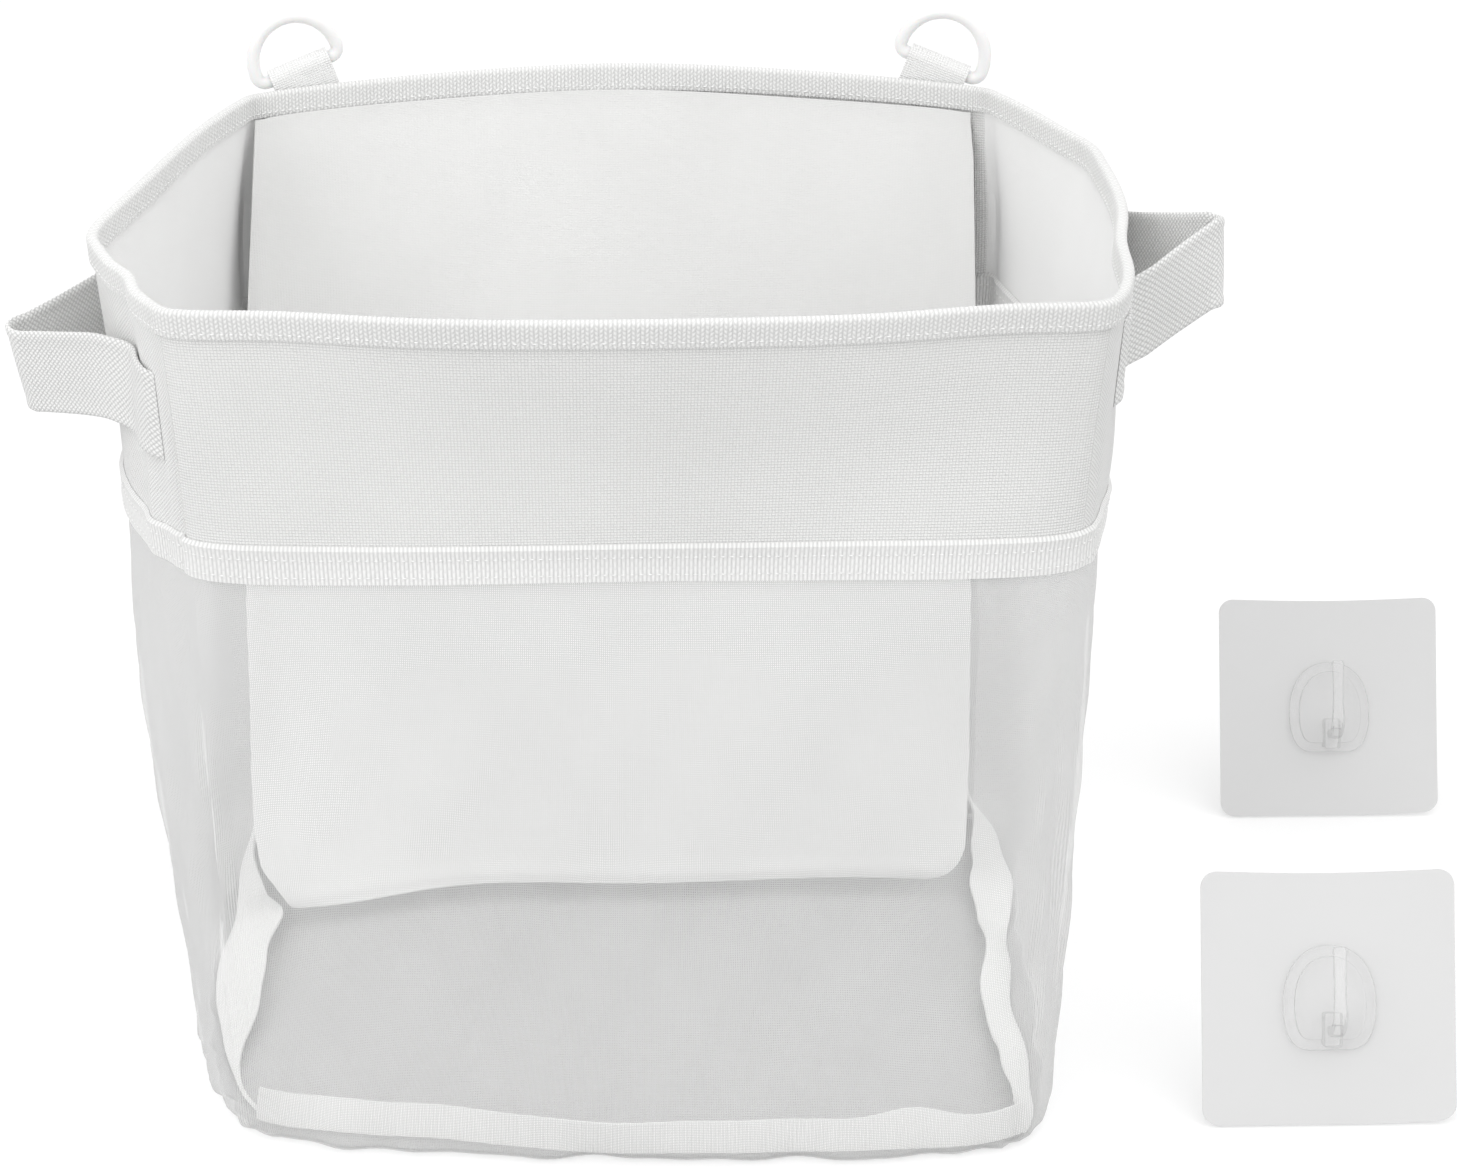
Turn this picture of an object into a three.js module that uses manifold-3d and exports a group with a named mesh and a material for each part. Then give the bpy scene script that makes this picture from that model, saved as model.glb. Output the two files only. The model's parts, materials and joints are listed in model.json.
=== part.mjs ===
// A soft bath toy organizer: a sewn bin with a woven band round the top, sheer mesh walls and floor,
// two strap handles, a stiffened panel that hangs inside the back, and two rings on webbing tabs.
// With it stands the pair of clear stick-on hooks that the rings hang from.
// Millimetres, +Z up. The origin is the middle of the floor's underside, and the front faces -Y.

import * as THREE from 'three';
import Module from 'manifold-3d';
import { mergeVertices } from 'three/addons/utils/BufferGeometryUtils.js';

// Gaps and cloth thicknesses
const CLEARANCE = 0.3;
const BAND_THICKNESS = 1.2;
const MESH_THICKNESS = 0.8;
const TAPE_THICKNESS = 1;
const STRAP_THICKNESS = 2.4;

// Heights above the floor
const BIN_HEIGHT = 316;
const SEAM_HEIGHT = 226;
const BACK_RIM_RISE = 6;
const RIM_TAPE_WIDTH = 11;
const SEAM_TAPE_WIDTH = 11;
const FLOOR_TAPE_WIDTH = 10;
const FLOOR_TAPE_LEAN = 4;

// The floor's outline: corner to corner, and how far each side swells past its corners
const FLOOR_FRONT_WIDTH = 296;
const FLOOR_BACK_WIDTH = 312;
const FLOOR_FRONT_DEPTH = 122;
const FLOOR_BACK_DEPTH = 116;
const FLOOR_FRONT_BOW = 11;
const FLOOR_FRONT_SKEW = 6;
const FLOOR_BACK_BOW = 3;
const FLOOR_LEFT_BULGE = 12;
const FLOOR_RIGHT_BULGE = 7;
const FLOOR_CORNER = 16;

// The outline at the seam between mesh and band
const SEAM_FRONT_WIDTH = 304;
const SEAM_BACK_WIDTH = 292;
const SEAM_FRONT_DEPTH = 105.5;
const SEAM_BACK_DEPTH = 115;
const SEAM_FRONT_BOW = 3;
const SEAM_BACK_BOW = 10;
const SEAM_LEFT_BULGE = 24;
const SEAM_RIGHT_BULGE = 16;
const SEAM_CORNER = 11;

// The rim's outline
const RIM_FRONT_WIDTH = 312;
const RIM_BACK_WIDTH = 286;
const RIM_FRONT_DEPTH = 110;
const RIM_BACK_DEPTH = 119;
const RIM_FRONT_BOW = 11;
const RIM_BACK_BOW = 14;
const RIM_LEFT_BULGE = 27;
const RIM_RIGHT_BULGE = 22;
const RIM_CORNER = 10;

// Where the two sides swell most, front to back
const LEFT_BULGE_Y = -36;
const RIGHT_BULGE_Y = 30;

// The panel inside the back, which stands forward at its foot
const PANEL_TOP_WIDTH = 272;
const PANEL_BOTTOM_WIDTH = 286;
const PANEL_BOTTOM_HEIGHT = 10;
const PANEL_SHIFT = -3;
const PANEL_CORNER_RADIUS = 18;
const PANEL_STAND_OFF = 76;
const PANEL_BOARD_THICKNESS = 1.2;
const PANEL_COVER_THICKNESS = 0.6;

// The strap handles
const STRAP_WIDTH = 31;
const STRAP_DROP = 40;
const STRAP_FRONT_Y = -97;
const STRAP_BACK_Y = 34;
const STRAP_SEWN_LENGTH = 14;
const STRAP_FOLD_Y = -40;
const STRAP_FOLD_LENGTH = 7;
const STRAP_REACH = 30.5;
const STRAP_EASE = 10;
const STRAP_FLEX_OUT = 4;
const LEFT_STRAP_RISE = -8;
const RIGHT_STRAP_RISE = 27;

// The rings and their webbing tabs
const RING_CORNER_INSET = 22;
const RING_RISE = 6;
const RING_TILT = THREE.MathUtils.degToRad(19);
const RING_WIRE = 5;
const RING_INNER_WIDTH = 28;
const RING_INNER_HEIGHT = 16;
const RING_CORNER = 3.5;
const RING_SPACE = 0.5;
const TAB_WIDTH = 24;
const TAB_LENGTH = 28;
const WEBBING_THICKNESS = 1.2;

// The stick-on hooks
const HOOK_SHEET_SIZE = 92;
const HOOK_SHEET_THICKNESS = 0.8;
const HOOK_SHEET_CORNER = 6;
const BOSS_WIDTH = 34;
const BOSS_HEIGHT = 38;
const BOSS_FLANGE_THICKNESS = 1.4;
const BOSS_DISC_INSET = 4;
const BOSS_DISC_THICKNESS = 1.2;
const BOSS_FOOT_SHARE = 0.5;
const BOSS_WAIST_SHARE = 0.25;
const PRONG_WIDTH = 5;
const PRONG_THICKNESS = 4;
const PRONG_REACH = 17;
const PRONG_BEND = 7;
const PRONG_ROOT_DROP = 11;
const PRONG_TIP_RISE = 20;
const PRONG_BLOCK_WIDTH = 7;
const PRONG_BLOCK_DEPTH = 5;
const PRONG_BLOCK_HEIGHT = 12;
const HOOK_LEAN = THREE.MathUtils.degToRad(26);
const UPPER_HOOK_X = 300;
const UPPER_HOOK_Y = 126;
const LOWER_HOOK_X = 251;
const LOWER_HOOK_Y = -94;

// How finely the solids are cut
const WALL_COLUMNS = 18;
const BAND_ROWS = 2;
const MESH_ROWS = 3;
const LOOP_STATIONS = 72;
const STRAP_END_STEPS = 12;
const STRAP_LOOP_STEPS = 36;
const STRAP_SEARCH_STEPS = 720;
const RING_STATIONS = 40;
const RING_SIDES = 10;
const BORE_STEPS = 20;
const PLATE_ARC_STEPS = 8;
const ARC_STEPS = 6;
const SEARCH_STEPS = 40;

const ANCHORS = 12;
const WALL_STARTS = { front: 0.5, right: 3.5, back: 6.5, left: 9.5 };
const WALL_ANCHORS = 3;
const UP = new THREE.Vector3(0, 0, 1);
const RIM_EDGE = BIN_HEIGHT - TAPE_THICKNESS - CLEARANCE;

const { lerp, mapLinear } = THREE.MathUtils;
const wasm = await Module();
wasm.setup();

const cloth = { color: 0xe6e6e4, roughness: 0.9, metalness: 0 };
const net = { color: 0xdcdcda, roughness: 0.85, metalness: 0 };
const tape = { color: 0xededeb, roughness: 0.88, metalness: 0 };
const webbing = { color: 0xe2e2e0, roughness: 0.9, metalness: 0 };
const whitePlastic = { color: 0xf4f4f2, roughness: 0.35, metalness: 0 };
const boardPlastic = { color: 0xd8d8d6, roughness: 0.5, metalness: 0 };
const clearPlastic = { color: 0xe4e6e6, roughness: 0.1, metalness: 0 };

const organizer = new THREE.Group();

function addMesh(name, geometry, finish, parent = organizer) {
  const mesh = new THREE.Mesh(geometry, new THREE.MeshStandardMaterial(finish));
  mesh.name = name;
  parent.add(mesh);
  return mesh;
}

function evenSteps(low, high, steps) {
  return Array.from({ length: steps + 1 }, (_, step) => lerp(low, high, step / steps));
}

// A closed outline at one height, through two points at each corner and one in the middle of each side
function outline(shape) {
  const frontX = shape.frontWidth / 2;
  const backX = shape.backWidth / 2;
  const sideX = (y) => mapLinear(y, -shape.front, shape.back, frontX, backX);
  const rise = shape.backRise ?? 0;
  const skew = shape.frontSkew ?? 0;
  const points = [
    [-frontX, shape.corner - shape.front + skew],
    [shape.corner - frontX, -shape.front + skew],
    [0, -shape.front - shape.frontBow],
    [frontX - shape.corner, -shape.front - skew],
    [frontX, shape.corner - shape.front - skew],
    [sideX(RIGHT_BULGE_Y) + shape.rightBulge, RIGHT_BULGE_Y],
    [backX, shape.back - shape.corner],
    [backX - shape.corner, shape.back],
    [0, shape.back + shape.backBow, rise],
    [shape.corner - backX, shape.back],
    [-backX, shape.back - shape.corner],
    [-sideX(LEFT_BULGE_Y) - shape.leftBulge, LEFT_BULGE_Y],
  ];
  const vectors = points.map(([x, y, lift = 0]) => new THREE.Vector3(x, y, shape.height + lift));
  return new THREE.CatmullRomCurve3(vectors, true);
}

const floorOutline = outline({
  height: 0,
  frontWidth: FLOOR_FRONT_WIDTH,
  backWidth: FLOOR_BACK_WIDTH,
  front: FLOOR_FRONT_DEPTH,
  back: FLOOR_BACK_DEPTH,
  frontBow: FLOOR_FRONT_BOW,
  frontSkew: FLOOR_FRONT_SKEW,
  backBow: FLOOR_BACK_BOW,
  leftBulge: FLOOR_LEFT_BULGE,
  rightBulge: FLOOR_RIGHT_BULGE,
  corner: FLOOR_CORNER,
});

const seamOutline = outline({
  height: SEAM_HEIGHT,
  frontWidth: SEAM_FRONT_WIDTH,
  backWidth: SEAM_BACK_WIDTH,
  front: SEAM_FRONT_DEPTH,
  back: SEAM_BACK_DEPTH,
  frontBow: SEAM_FRONT_BOW,
  backBow: SEAM_BACK_BOW,
  leftBulge: SEAM_LEFT_BULGE,
  rightBulge: SEAM_RIGHT_BULGE,
  corner: SEAM_CORNER,
});

const rimOutline = outline({
  height: RIM_EDGE,
  frontWidth: RIM_FRONT_WIDTH,
  backWidth: RIM_BACK_WIDTH,
  front: RIM_FRONT_DEPTH,
  back: RIM_BACK_DEPTH,
  frontBow: RIM_FRONT_BOW,
  backBow: RIM_BACK_BOW,
  leftBulge: RIM_LEFT_BULGE,
  rightBulge: RIM_RIGHT_BULGE,
  corner: RIM_CORNER,
  backRise: BACK_RIM_RISE,
});

// The middle of the wall's cloth; a turn runs from 0 to 1 round the bin from its front left corner
function skin(turn, height) {
  const lap = THREE.MathUtils.euclideanModulo(turn, 1);
  const seam = seamOutline.getPoint(lap);
  if (height < SEAM_HEIGHT) {
    return floorOutline.getPoint(lap).lerp(seam, height / SEAM_HEIGHT);
  }
  return seam.lerp(rimOutline.getPoint(lap), (height - SEAM_HEIGHT) / (RIM_EDGE - SEAM_HEIGHT));
}

// A point of the wall with the level directions along it and out of it
function station(turn, height) {
  const step = 1 / (ANCHORS * WALL_COLUMNS);
  const along = skin(turn + step, height).sub(skin(turn - step, height)).setZ(0).normalize();
  const out = new THREE.Vector3().crossVectors(along, UP);
  return { point: skin(turn, height), along, out };
}

function wallTurn(wall, share) {
  return (WALL_STARTS[wall] + WALL_ANCHORS * share) / ANCHORS;
}

// The turn at which a wall has the given x or y, by halving
function turnWhere(wall, height, axis, value) {
  let low = wallTurn(wall, 0);
  let high = wallTurn(wall, 1);
  const rising = skin(high, height)[axis] > skin(low, height)[axis];
  for (let step = 0; step < SEARCH_STEPS; step += 1) {
    const middle = (low + high) / 2;
    const short = skin(middle, height)[axis] < value;
    if (short === rising) {
      low = middle;
    } else {
      high = middle;
    }
  }
  return (low + high) / 2;
}

function signedVolume(position, index) {
  const corners = [new THREE.Vector3(), new THREE.Vector3(), new THREE.Vector3()];
  let volume = 0;
  for (let face = 0; face < index.length; face += corners.length) {
    corners.forEach((corner, k) => corner.fromArray(position, 3 * index[face + k]));
    volume += corners[0].dot(corners[1].clone().cross(corners[2]));
  }
  return volume;
}

// A closed solid through a row of sections, each a ring of points whose second half runs back along
// the first: both faces are cut into matching triangles, and open ends are closed by strips between
function loft(sections, closed = false) {
  const count = sections[0].length;
  const position = sections.flat().flatMap((point) => point.toArray());
  const index = [];
  const at = (section, k) => (section % sections.length) * count + (k % count);
  const quad = (a, b, c, d) => index.push(a, b, c, a, c, d);
  const spans = closed ? sections.length : sections.length - 1;
  for (let s = 0; s < spans; s += 1) {
    for (let k = 0; k < count; k += 1) {
      const corners = [at(s, k), at(s + 1, k), at(s + 1, k + 1), at(s, k + 1)];
      const matched = k < count / 2 ? corners : [...corners.slice(1), corners[0]];
      quad(...matched);
    }
  }
  for (let k = 0; !closed && k < count / 2 - 1; k += 1) {
    quad(at(0, k), at(0, k + 1), at(0, count - 2 - k), at(0, count - 1 - k));
    quad(at(spans, k), at(spans, count - 1 - k), at(spans, count - 2 - k), at(spans, k + 1));
  }
  if (signedVolume(position, index) < 0) {
    index.reverse();
  }
  const geometry = new THREE.BufferGeometry();
  geometry.setAttribute('position', new THREE.Float32BufferAttribute(position, 3));
  geometry.setIndex(index);
  return geometry;
}

// A strip of cloth: heights from low to high on its outer face, and back down on its inner face
function wallSection(turn, heights, offset, thickness, shift = 0) {
  const face = (height, side) => {
    const { point, along, out } = station(turn, height);
    return point.addScaledVector(out, offset + side * thickness / 2).addScaledVector(along, shift);
  };
  const outer = heights.map((height) => face(height, 1));
  const inner = heights.map((height) => face(height, -1)).reverse();
  return [...outer, ...inner];
}

function wallSheet(wall, heights, offset, thickness) {
  const sections = [];
  for (let column = 0; column <= WALL_COLUMNS; column += 1) {
    const first = column === 0 ? CLEARANCE / 2 : 0;
    const last = column === WALL_COLUMNS ? CLEARANCE / 2 : 0;
    const turn = wallTurn(wall, column / WALL_COLUMNS);
    sections.push(wallSection(turn, heights, offset, thickness, first - last));
  }
  return loft(sections);
}

function aroundBin(section) {
  const turns = Array.from({ length: LOOP_STATIONS }, (_, step) => step / LOOP_STATIONS);
  return loft(turns.map(section), true);
}

// Bands and mesh walls
const bandHeights = evenSteps(SEAM_HEIGHT + CLEARANCE / 2, RIM_EDGE, BAND_ROWS);
const meshHeights = evenSteps(0, SEAM_HEIGHT - CLEARANCE / 2, MESH_ROWS);
Object.keys(WALL_STARTS).forEach((wall) => {
  addMesh(`${wall}_band`, wallSheet(wall, bandHeights, 0, BAND_THICKNESS), cloth);
  addMesh(`${wall}_mesh`, wallSheet(wall, meshHeights, 0, MESH_THICKNESS), net);
});

// The floor lies inside the walls' lower edges
const floorInset = MESH_THICKNESS / 2 + CLEARANCE;
const floorEdge = Array.from({ length: LOOP_STATIONS }, (_, step) => {
  const { point, out } = station(step / LOOP_STATIONS, 0);
  return point.addScaledVector(out, -floorInset);
});
const floorShape = new THREE.Shape(floorEdge.map(({ x, y }) => new THREE.Vector2(x, y)));
const floorMesh = new THREE.ExtrudeGeometry(floorShape, { depth: MESH_THICKNESS, bevelEnabled: false });
addMesh('floor_mesh', floorMesh, net);

// Tapes: folded over the rim, flat over the seam on both sides, and standing inside the floor's edge
const bandFace = BAND_THICKNESS / 2 + CLEARANCE;
const tapeMiddle = bandFace + TAPE_THICKNESS / 2;
const tapeFace = bandFace + TAPE_THICKNESS;

function rimTapeSection(turn) {
  const low = RIM_EDGE - RIM_TAPE_WIDTH + TAPE_THICKNESS + CLEARANCE;
  const leg = (height, offset, lift) => {
    const { point, out } = station(turn, height);
    return point.addScaledVector(out, offset).addScaledVector(UP, lift);
  };
  const crown = CLEARANCE + TAPE_THICKNESS;
  return [
    leg(low, tapeFace, 0),
    leg(RIM_EDGE, tapeFace, crown),
    leg(RIM_EDGE, -tapeFace, crown),
    leg(low, -tapeFace, 0),
    leg(low, -bandFace, 0),
    leg(RIM_EDGE, -bandFace, CLEARANCE),
    leg(RIM_EDGE, bandFace, CLEARANCE),
    leg(low, bandFace, 0),
  ];
}
addMesh('rim_binding', aroundBin(rimTapeSection), tape);

const seamTapeHeights = [-1, 0, 1].map((side) => SEAM_HEIGHT + side * SEAM_TAPE_WIDTH / 2);
const seamSection = (offset) => (turn) => wallSection(turn, seamTapeHeights, offset, TAPE_THICKNESS);
addMesh('band_tape_outer', aroundBin(seamSection(tapeMiddle)), tape);
addMesh('band_tape_inner', aroundBin(seamSection(-tapeMiddle)), tape);

function floorTape(wall) {
  const base = MESH_THICKNESS + CLEARANCE;
  const inside = MESH_THICKNESS / 2 + CLEARANCE;
  const sections = [];
  for (let column = 0; column <= WALL_COLUMNS; column += 1) {
    const turn = wallTurn(wall, column / WALL_COLUMNS);
    const first = column === 0 ? CLEARANCE / 2 : 0;
    const last = column === WALL_COLUMNS ? CLEARANCE / 2 : 0;
    const corner = (height, depth) => {
      const { point, along, out } = station(turn, height);
      return point.addScaledVector(out, -depth).addScaledVector(along, first - last);
    };
    sections.push([
      corner(base, inside),
      corner(base + FLOOR_TAPE_WIDTH, inside + FLOOR_TAPE_LEAN),
      corner(base + FLOOR_TAPE_WIDTH, inside + FLOOR_TAPE_LEAN + TAPE_THICKNESS),
      corner(base, inside + TAPE_THICKNESS),
    ]);
  }
  return loft(sections);
}
Object.keys(WALL_STARTS).forEach((wall) => addMesh(`${wall}_floor_tape`, floorTape(wall), tape));

// The back panel: a board between two covers, hung below the rim tape and following the back wall
const panelTop = BIN_HEIGHT - RIM_TAPE_WIDTH - CLEARANCE;
const panelHalfThickness = PANEL_BOARD_THICKNESS / 2 + CLEARANCE + PANEL_COVER_THICKNESS;
const panelTopStandOff = bandFace + panelHalfThickness;

function panelHalfWidth(height) {
  const half = mapLinear(height, PANEL_BOTTOM_HEIGHT, panelTop, PANEL_BOTTOM_WIDTH, PANEL_TOP_WIDTH) / 2;
  const short = Math.max(0, PANEL_CORNER_RADIUS - (height - PANEL_BOTTOM_HEIGHT));
  return half - PANEL_CORNER_RADIUS + Math.sqrt(PANEL_CORNER_RADIUS ** 2 - short ** 2);
}

function panelSheet(offset, thickness) {
  const heights = [];
  for (let step = 0; step < ARC_STEPS; step += 1) {
    const angle = (step / ARC_STEPS) * (Math.PI / 2);
    heights.push(PANEL_BOTTOM_HEIGHT + PANEL_CORNER_RADIUS * (1 - Math.cos(angle)));
  }
  heights.push(PANEL_BOTTOM_HEIGHT + PANEL_CORNER_RADIUS, SEAM_HEIGHT, panelTop);
  const sections = [];
  for (let column = 0; column <= WALL_COLUMNS; column += 1) {
    const side = mapLinear(column, 0, WALL_COLUMNS, 1, -1);
    const face = (height, depth) => {
      const turn = turnWhere('back', height, 'x', PANEL_SHIFT + side * panelHalfWidth(height));
      const standOff = mapLinear(height, PANEL_BOTTOM_HEIGHT, panelTop, PANEL_STAND_OFF, panelTopStandOff);
      const point = skin(turn, height);
      return point.setY(point.y - standOff + depth);
    };
    const rear = heights.map((height) => face(height, offset + thickness / 2));
    const front = heights.map((height) => face(height, offset - thickness / 2)).reverse();
    sections.push([...rear, ...front]);
  }
  return loft(sections);
}
const coverOffset = panelHalfThickness - PANEL_COVER_THICKNESS / 2;
addMesh('back_panel_board', panelSheet(0, PANEL_BOARD_THICKNESS), boardPlastic);
addMesh('back_panel_front_cover', panelSheet(-coverOffset, PANEL_COVER_THICKNESS), cloth);
addMesh('back_panel_rear_cover', panelSheet(coverOffset, PANEL_COVER_THICKNESS), cloth);

// Strap handles: sewn to the side at both ends and folded at the middle; the loop outside the flex
// line lifts, and the two ends stay with the bin
const strapHeight = BIN_HEIGHT - STRAP_DROP;

function strapCurve(wall, side, widest, rise) {
  const offset = BAND_THICKNESS / 2 + CLEARANCE + STRAP_THICKNESS / 2;
  const edges = [strapHeight - STRAP_WIDTH / 2, strapHeight + STRAP_WIDTH / 2];
  const sewn = (y) => {
    const faces = edges.map((height) => {
      const { point, out } = station(turnWhere(wall, height, 'y', y), height);
      return point.addScaledVector(out, offset).setZ(strapHeight);
    });
    return side * faces[0].x > side * faces[1].x ? faces[0] : faces[1];
  };
  const fold = (y, reach) => new THREE.Vector3(side * (widest + reach), y, strapHeight + rise);
  const ease = (from, to) => to.clone().sub(from).setLength(STRAP_EASE).add(to);
  const inner = STRAP_REACH - STRAP_FOLD_LENGTH / 2;
  const outer = STRAP_REACH + STRAP_FOLD_LENGTH / 2;
  const frontTip = sewn(STRAP_FRONT_Y);
  const frontRoot = sewn(STRAP_FRONT_Y + STRAP_SEWN_LENGTH);
  const foldFront = fold(STRAP_FOLD_Y - STRAP_FOLD_LENGTH, inner);
  const foldBack = fold(STRAP_FOLD_Y + STRAP_FOLD_LENGTH, inner);
  const backRoot = sewn(STRAP_BACK_Y - STRAP_SEWN_LENGTH);
  const backTip = sewn(STRAP_BACK_Y);
  const path = new THREE.CurvePath();
  path.add(new THREE.LineCurve3(frontTip, frontRoot));
  path.add(new THREE.QuadraticBezierCurve3(frontRoot, ease(frontTip, frontRoot), foldFront));
  path.add(new THREE.QuadraticBezierCurve3(foldFront, fold(STRAP_FOLD_Y, outer), foldBack));
  path.add(new THREE.QuadraticBezierCurve3(foldBack, ease(backTip, backRoot), backRoot));
  path.add(new THREE.LineCurve3(backRoot, backTip));
  return path;
}

function strapPiece(curve, from, to, steps) {
  const sections = [];
  for (let step = 0; step <= steps; step += 1) {
    const share = lerp(from, to, step / steps);
    const point = curve.getPoint(share);
    const out = new THREE.Vector3().crossVectors(curve.getTangent(share).setZ(0).normalize(), UP);
    const corner = (across, up) => point.clone()
      .addScaledVector(out, across * STRAP_THICKNESS / 2)
      .addScaledVector(UP, up * STRAP_WIDTH / 2);
    sections.push([corner(1, -1), corner(1, 1), corner(-1, 1), corner(-1, -1)]);
  }
  return loft(sections);
}

function addHandle(wall, side, rise) {
  const bulgeY = side < 0 ? LEFT_BULGE_Y : RIGHT_BULGE_Y;
  const widest = Math.abs(skin(turnWhere(wall, RIM_EDGE, 'y', bulgeY), RIM_EDGE).x);
  const curve = strapCurve(wall, side, widest, rise);
  const flexX = widest + tapeFace + STRAP_FLEX_OUT;
  const outside = (share) => Math.abs(curve.getPoint(share).x) > flexX;
  const shares = evenSteps(0, 1, STRAP_SEARCH_STEPS);
  const free = shares.filter(outside);
  const gap = CLEARANCE / curve.getLength();
  const first = free[0];
  const last = free[free.length - 1];
  addMesh(`${wall}_handle_front_end`, strapPiece(curve, 0, first - gap, STRAP_END_STEPS), webbing);
  addMesh(`${wall}_handle_loop`, strapPiece(curve, first, last, STRAP_LOOP_STEPS), webbing);
  addMesh(`${wall}_handle_back_end`, strapPiece(curve, last + gap, 1, STRAP_END_STEPS), webbing);
}
addHandle('left', -1, LEFT_STRAP_RISE);
addHandle('right', 1, RIGHT_STRAP_RISE);

// Rings: each bar lies along x in its own group, with the tab's loop round it
const ringX = RIM_BACK_WIDTH / 2 - RING_CORNER_INSET;
const wireRadius = RING_WIRE / 2;
const boreRadius = wireRadius + RING_SPACE;
const loopRadius = boreRadius + WEBBING_THICKNESS;

function ringGeometry() {
  const half = (RING_INNER_WIDTH + RING_WIRE) / 2;
  const top = RING_INNER_HEIGHT + RING_WIRE;
  const path = new THREE.Path();
  path.moveTo(RING_CORNER - half, 0);
  path.lineTo(half - RING_CORNER, 0);
  path.absarc(half - RING_CORNER, RING_CORNER, RING_CORNER, -Math.PI / 2, 0);
  path.absellipse(0, RING_CORNER, half, top - RING_CORNER, 0, Math.PI);
  path.absarc(RING_CORNER - half, RING_CORNER, RING_CORNER, Math.PI, 1.5 * Math.PI);
  const sections = [];
  for (let step = 0; step < RING_STATIONS; step += 1) {
    const share = step / RING_STATIONS;
    const point = path.getPointAt(share);
    const tangent = path.getTangentAt(share);
    const out = new THREE.Vector3(tangent.y, 0, -tangent.x);
    const ring = [];
    for (let k = 0; k < RING_SIDES; k += 1) {
      const angle = (2 * Math.PI * k) / RING_SIDES;
      ring.push(new THREE.Vector3(point.x, 0, point.y)
        .addScaledVector(out, wireRadius * Math.cos(angle))
        .add(new THREE.Vector3(0, wireRadius * Math.sin(angle), 0)));
    }
    sections.push(ring);
  }
  return loft(sections, true);
}

function tabGeometry() {
  const face = 2 * WEBBING_THICKNESS - loopRadius;
  const leave = -Math.acos(face / loopRadius);
  const shape = new THREE.Shape();
  shape.moveTo(-loopRadius, -TAB_LENGTH);
  shape.lineTo(face, -TAB_LENGTH);
  shape.absarc(0, 0, loopRadius, leave, Math.PI, false);
  shape.closePath();
  const bore = new THREE.Path();
  bore.absarc(0, 0, boreRadius, 0, 2 * Math.PI, true);
  shape.holes.push(bore);
  const settings = { depth: TAB_WIDTH, bevelEnabled: false, curveSegments: BORE_STEPS };
  const solid = new THREE.ExtrudeGeometry(shape, settings);
  solid.translate(0, 0, -TAB_WIDTH / 2);
  const y = new THREE.Vector3(0, 1, 0);
  const x = new THREE.Vector3(1, 0, 0);
  return solid.applyMatrix4(new THREE.Matrix4().makeBasis(y, UP, x));
}

function addRing(name, side) {
  const { point, along, out } = station(turnWhere('back', RIM_EDGE, 'x', side * ringX), RIM_EDGE);
  const group = new THREE.Group();
  const basis = new THREE.Matrix4().makeBasis(along.clone().negate(), out, UP);
  group.quaternion.setFromRotationMatrix(basis);
  group.position.copy(point).addScaledVector(out, tapeFace + CLEARANCE + loopRadius);
  group.position.z = BIN_HEIGHT + RING_RISE;
  group.rotateY(side * RING_TILT);
  addMesh(`${name}_ring_tab`, tabGeometry(), webbing, group);
  addMesh(`${name}_d_ring`, ringGeometry(), whitePlastic, group);
  organizer.add(group);
}
addRing('left', -1);
addRing('right', 1);

// Hooks: a clear sheet that leans back on its lower edge, with a moulded boss and an upturned prong
function toSolid(geometry) {
  const bare = geometry.clone();
  bare.deleteAttribute('normal');
  bare.deleteAttribute('uv');
  const merged = mergeVertices(bare);
  const vertProperties = new Float32Array(merged.attributes.position.array);
  const triVerts = new Uint32Array(merged.index.array);
  return new wasm.Manifold(new wasm.Mesh({ numProp: 3, vertProperties, triVerts }));
}

function toGeometry(solid) {
  const mesh = solid.getMesh();
  const geometry = new THREE.BufferGeometry();
  geometry.setAttribute('position', new THREE.BufferAttribute(mesh.vertProperties, 3));
  geometry.setIndex(new THREE.BufferAttribute(mesh.triVerts, 1));
  return geometry;
}

// An upright plate that runs forward from the given depth
function plate(shape, depth, thickness) {
  const settings = { depth: thickness, bevelEnabled: false, curveSegments: PLATE_ARC_STEPS };
  const solid = new THREE.ExtrudeGeometry(shape, settings);
  solid.rotateX(Math.PI / 2);
  solid.translate(0, -depth, 0);
  return solid;
}

function roundedSquare(size, radius) {
  const half = size / 2;
  const inner = half - radius;
  const shape = new THREE.Shape();
  shape.absarc(inner, inner, radius, 0, Math.PI / 2);
  shape.absarc(-inner, inner, radius, Math.PI / 2, Math.PI);
  shape.absarc(-inner, -inner, radius, Math.PI, 1.5 * Math.PI);
  shape.absarc(inner, -inner, radius, 1.5 * Math.PI, 2 * Math.PI);
  shape.closePath();
  return shape;
}

// An egg with a flattened foot
function eggShape(inset) {
  const half = BOSS_WIDTH / 2 - inset;
  const top = BOSS_HEIGHT / 2 - inset;
  const foot = half * BOSS_FOOT_SHARE;
  const waist = -top * BOSS_WAIST_SHARE;
  const shape = new THREE.Shape();
  shape.moveTo(-foot, -top);
  shape.lineTo(foot, -top);
  shape.bezierCurveTo(half, -top, half, -top / 2, half, waist);
  shape.bezierCurveTo(half, top / 2, foot, top, 0, top);
  shape.bezierCurveTo(-foot, top, -half, top / 2, -half, waist);
  shape.bezierCurveTo(-half, -top / 2, -half, -top, -foot, -top);
  return shape;
}

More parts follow.
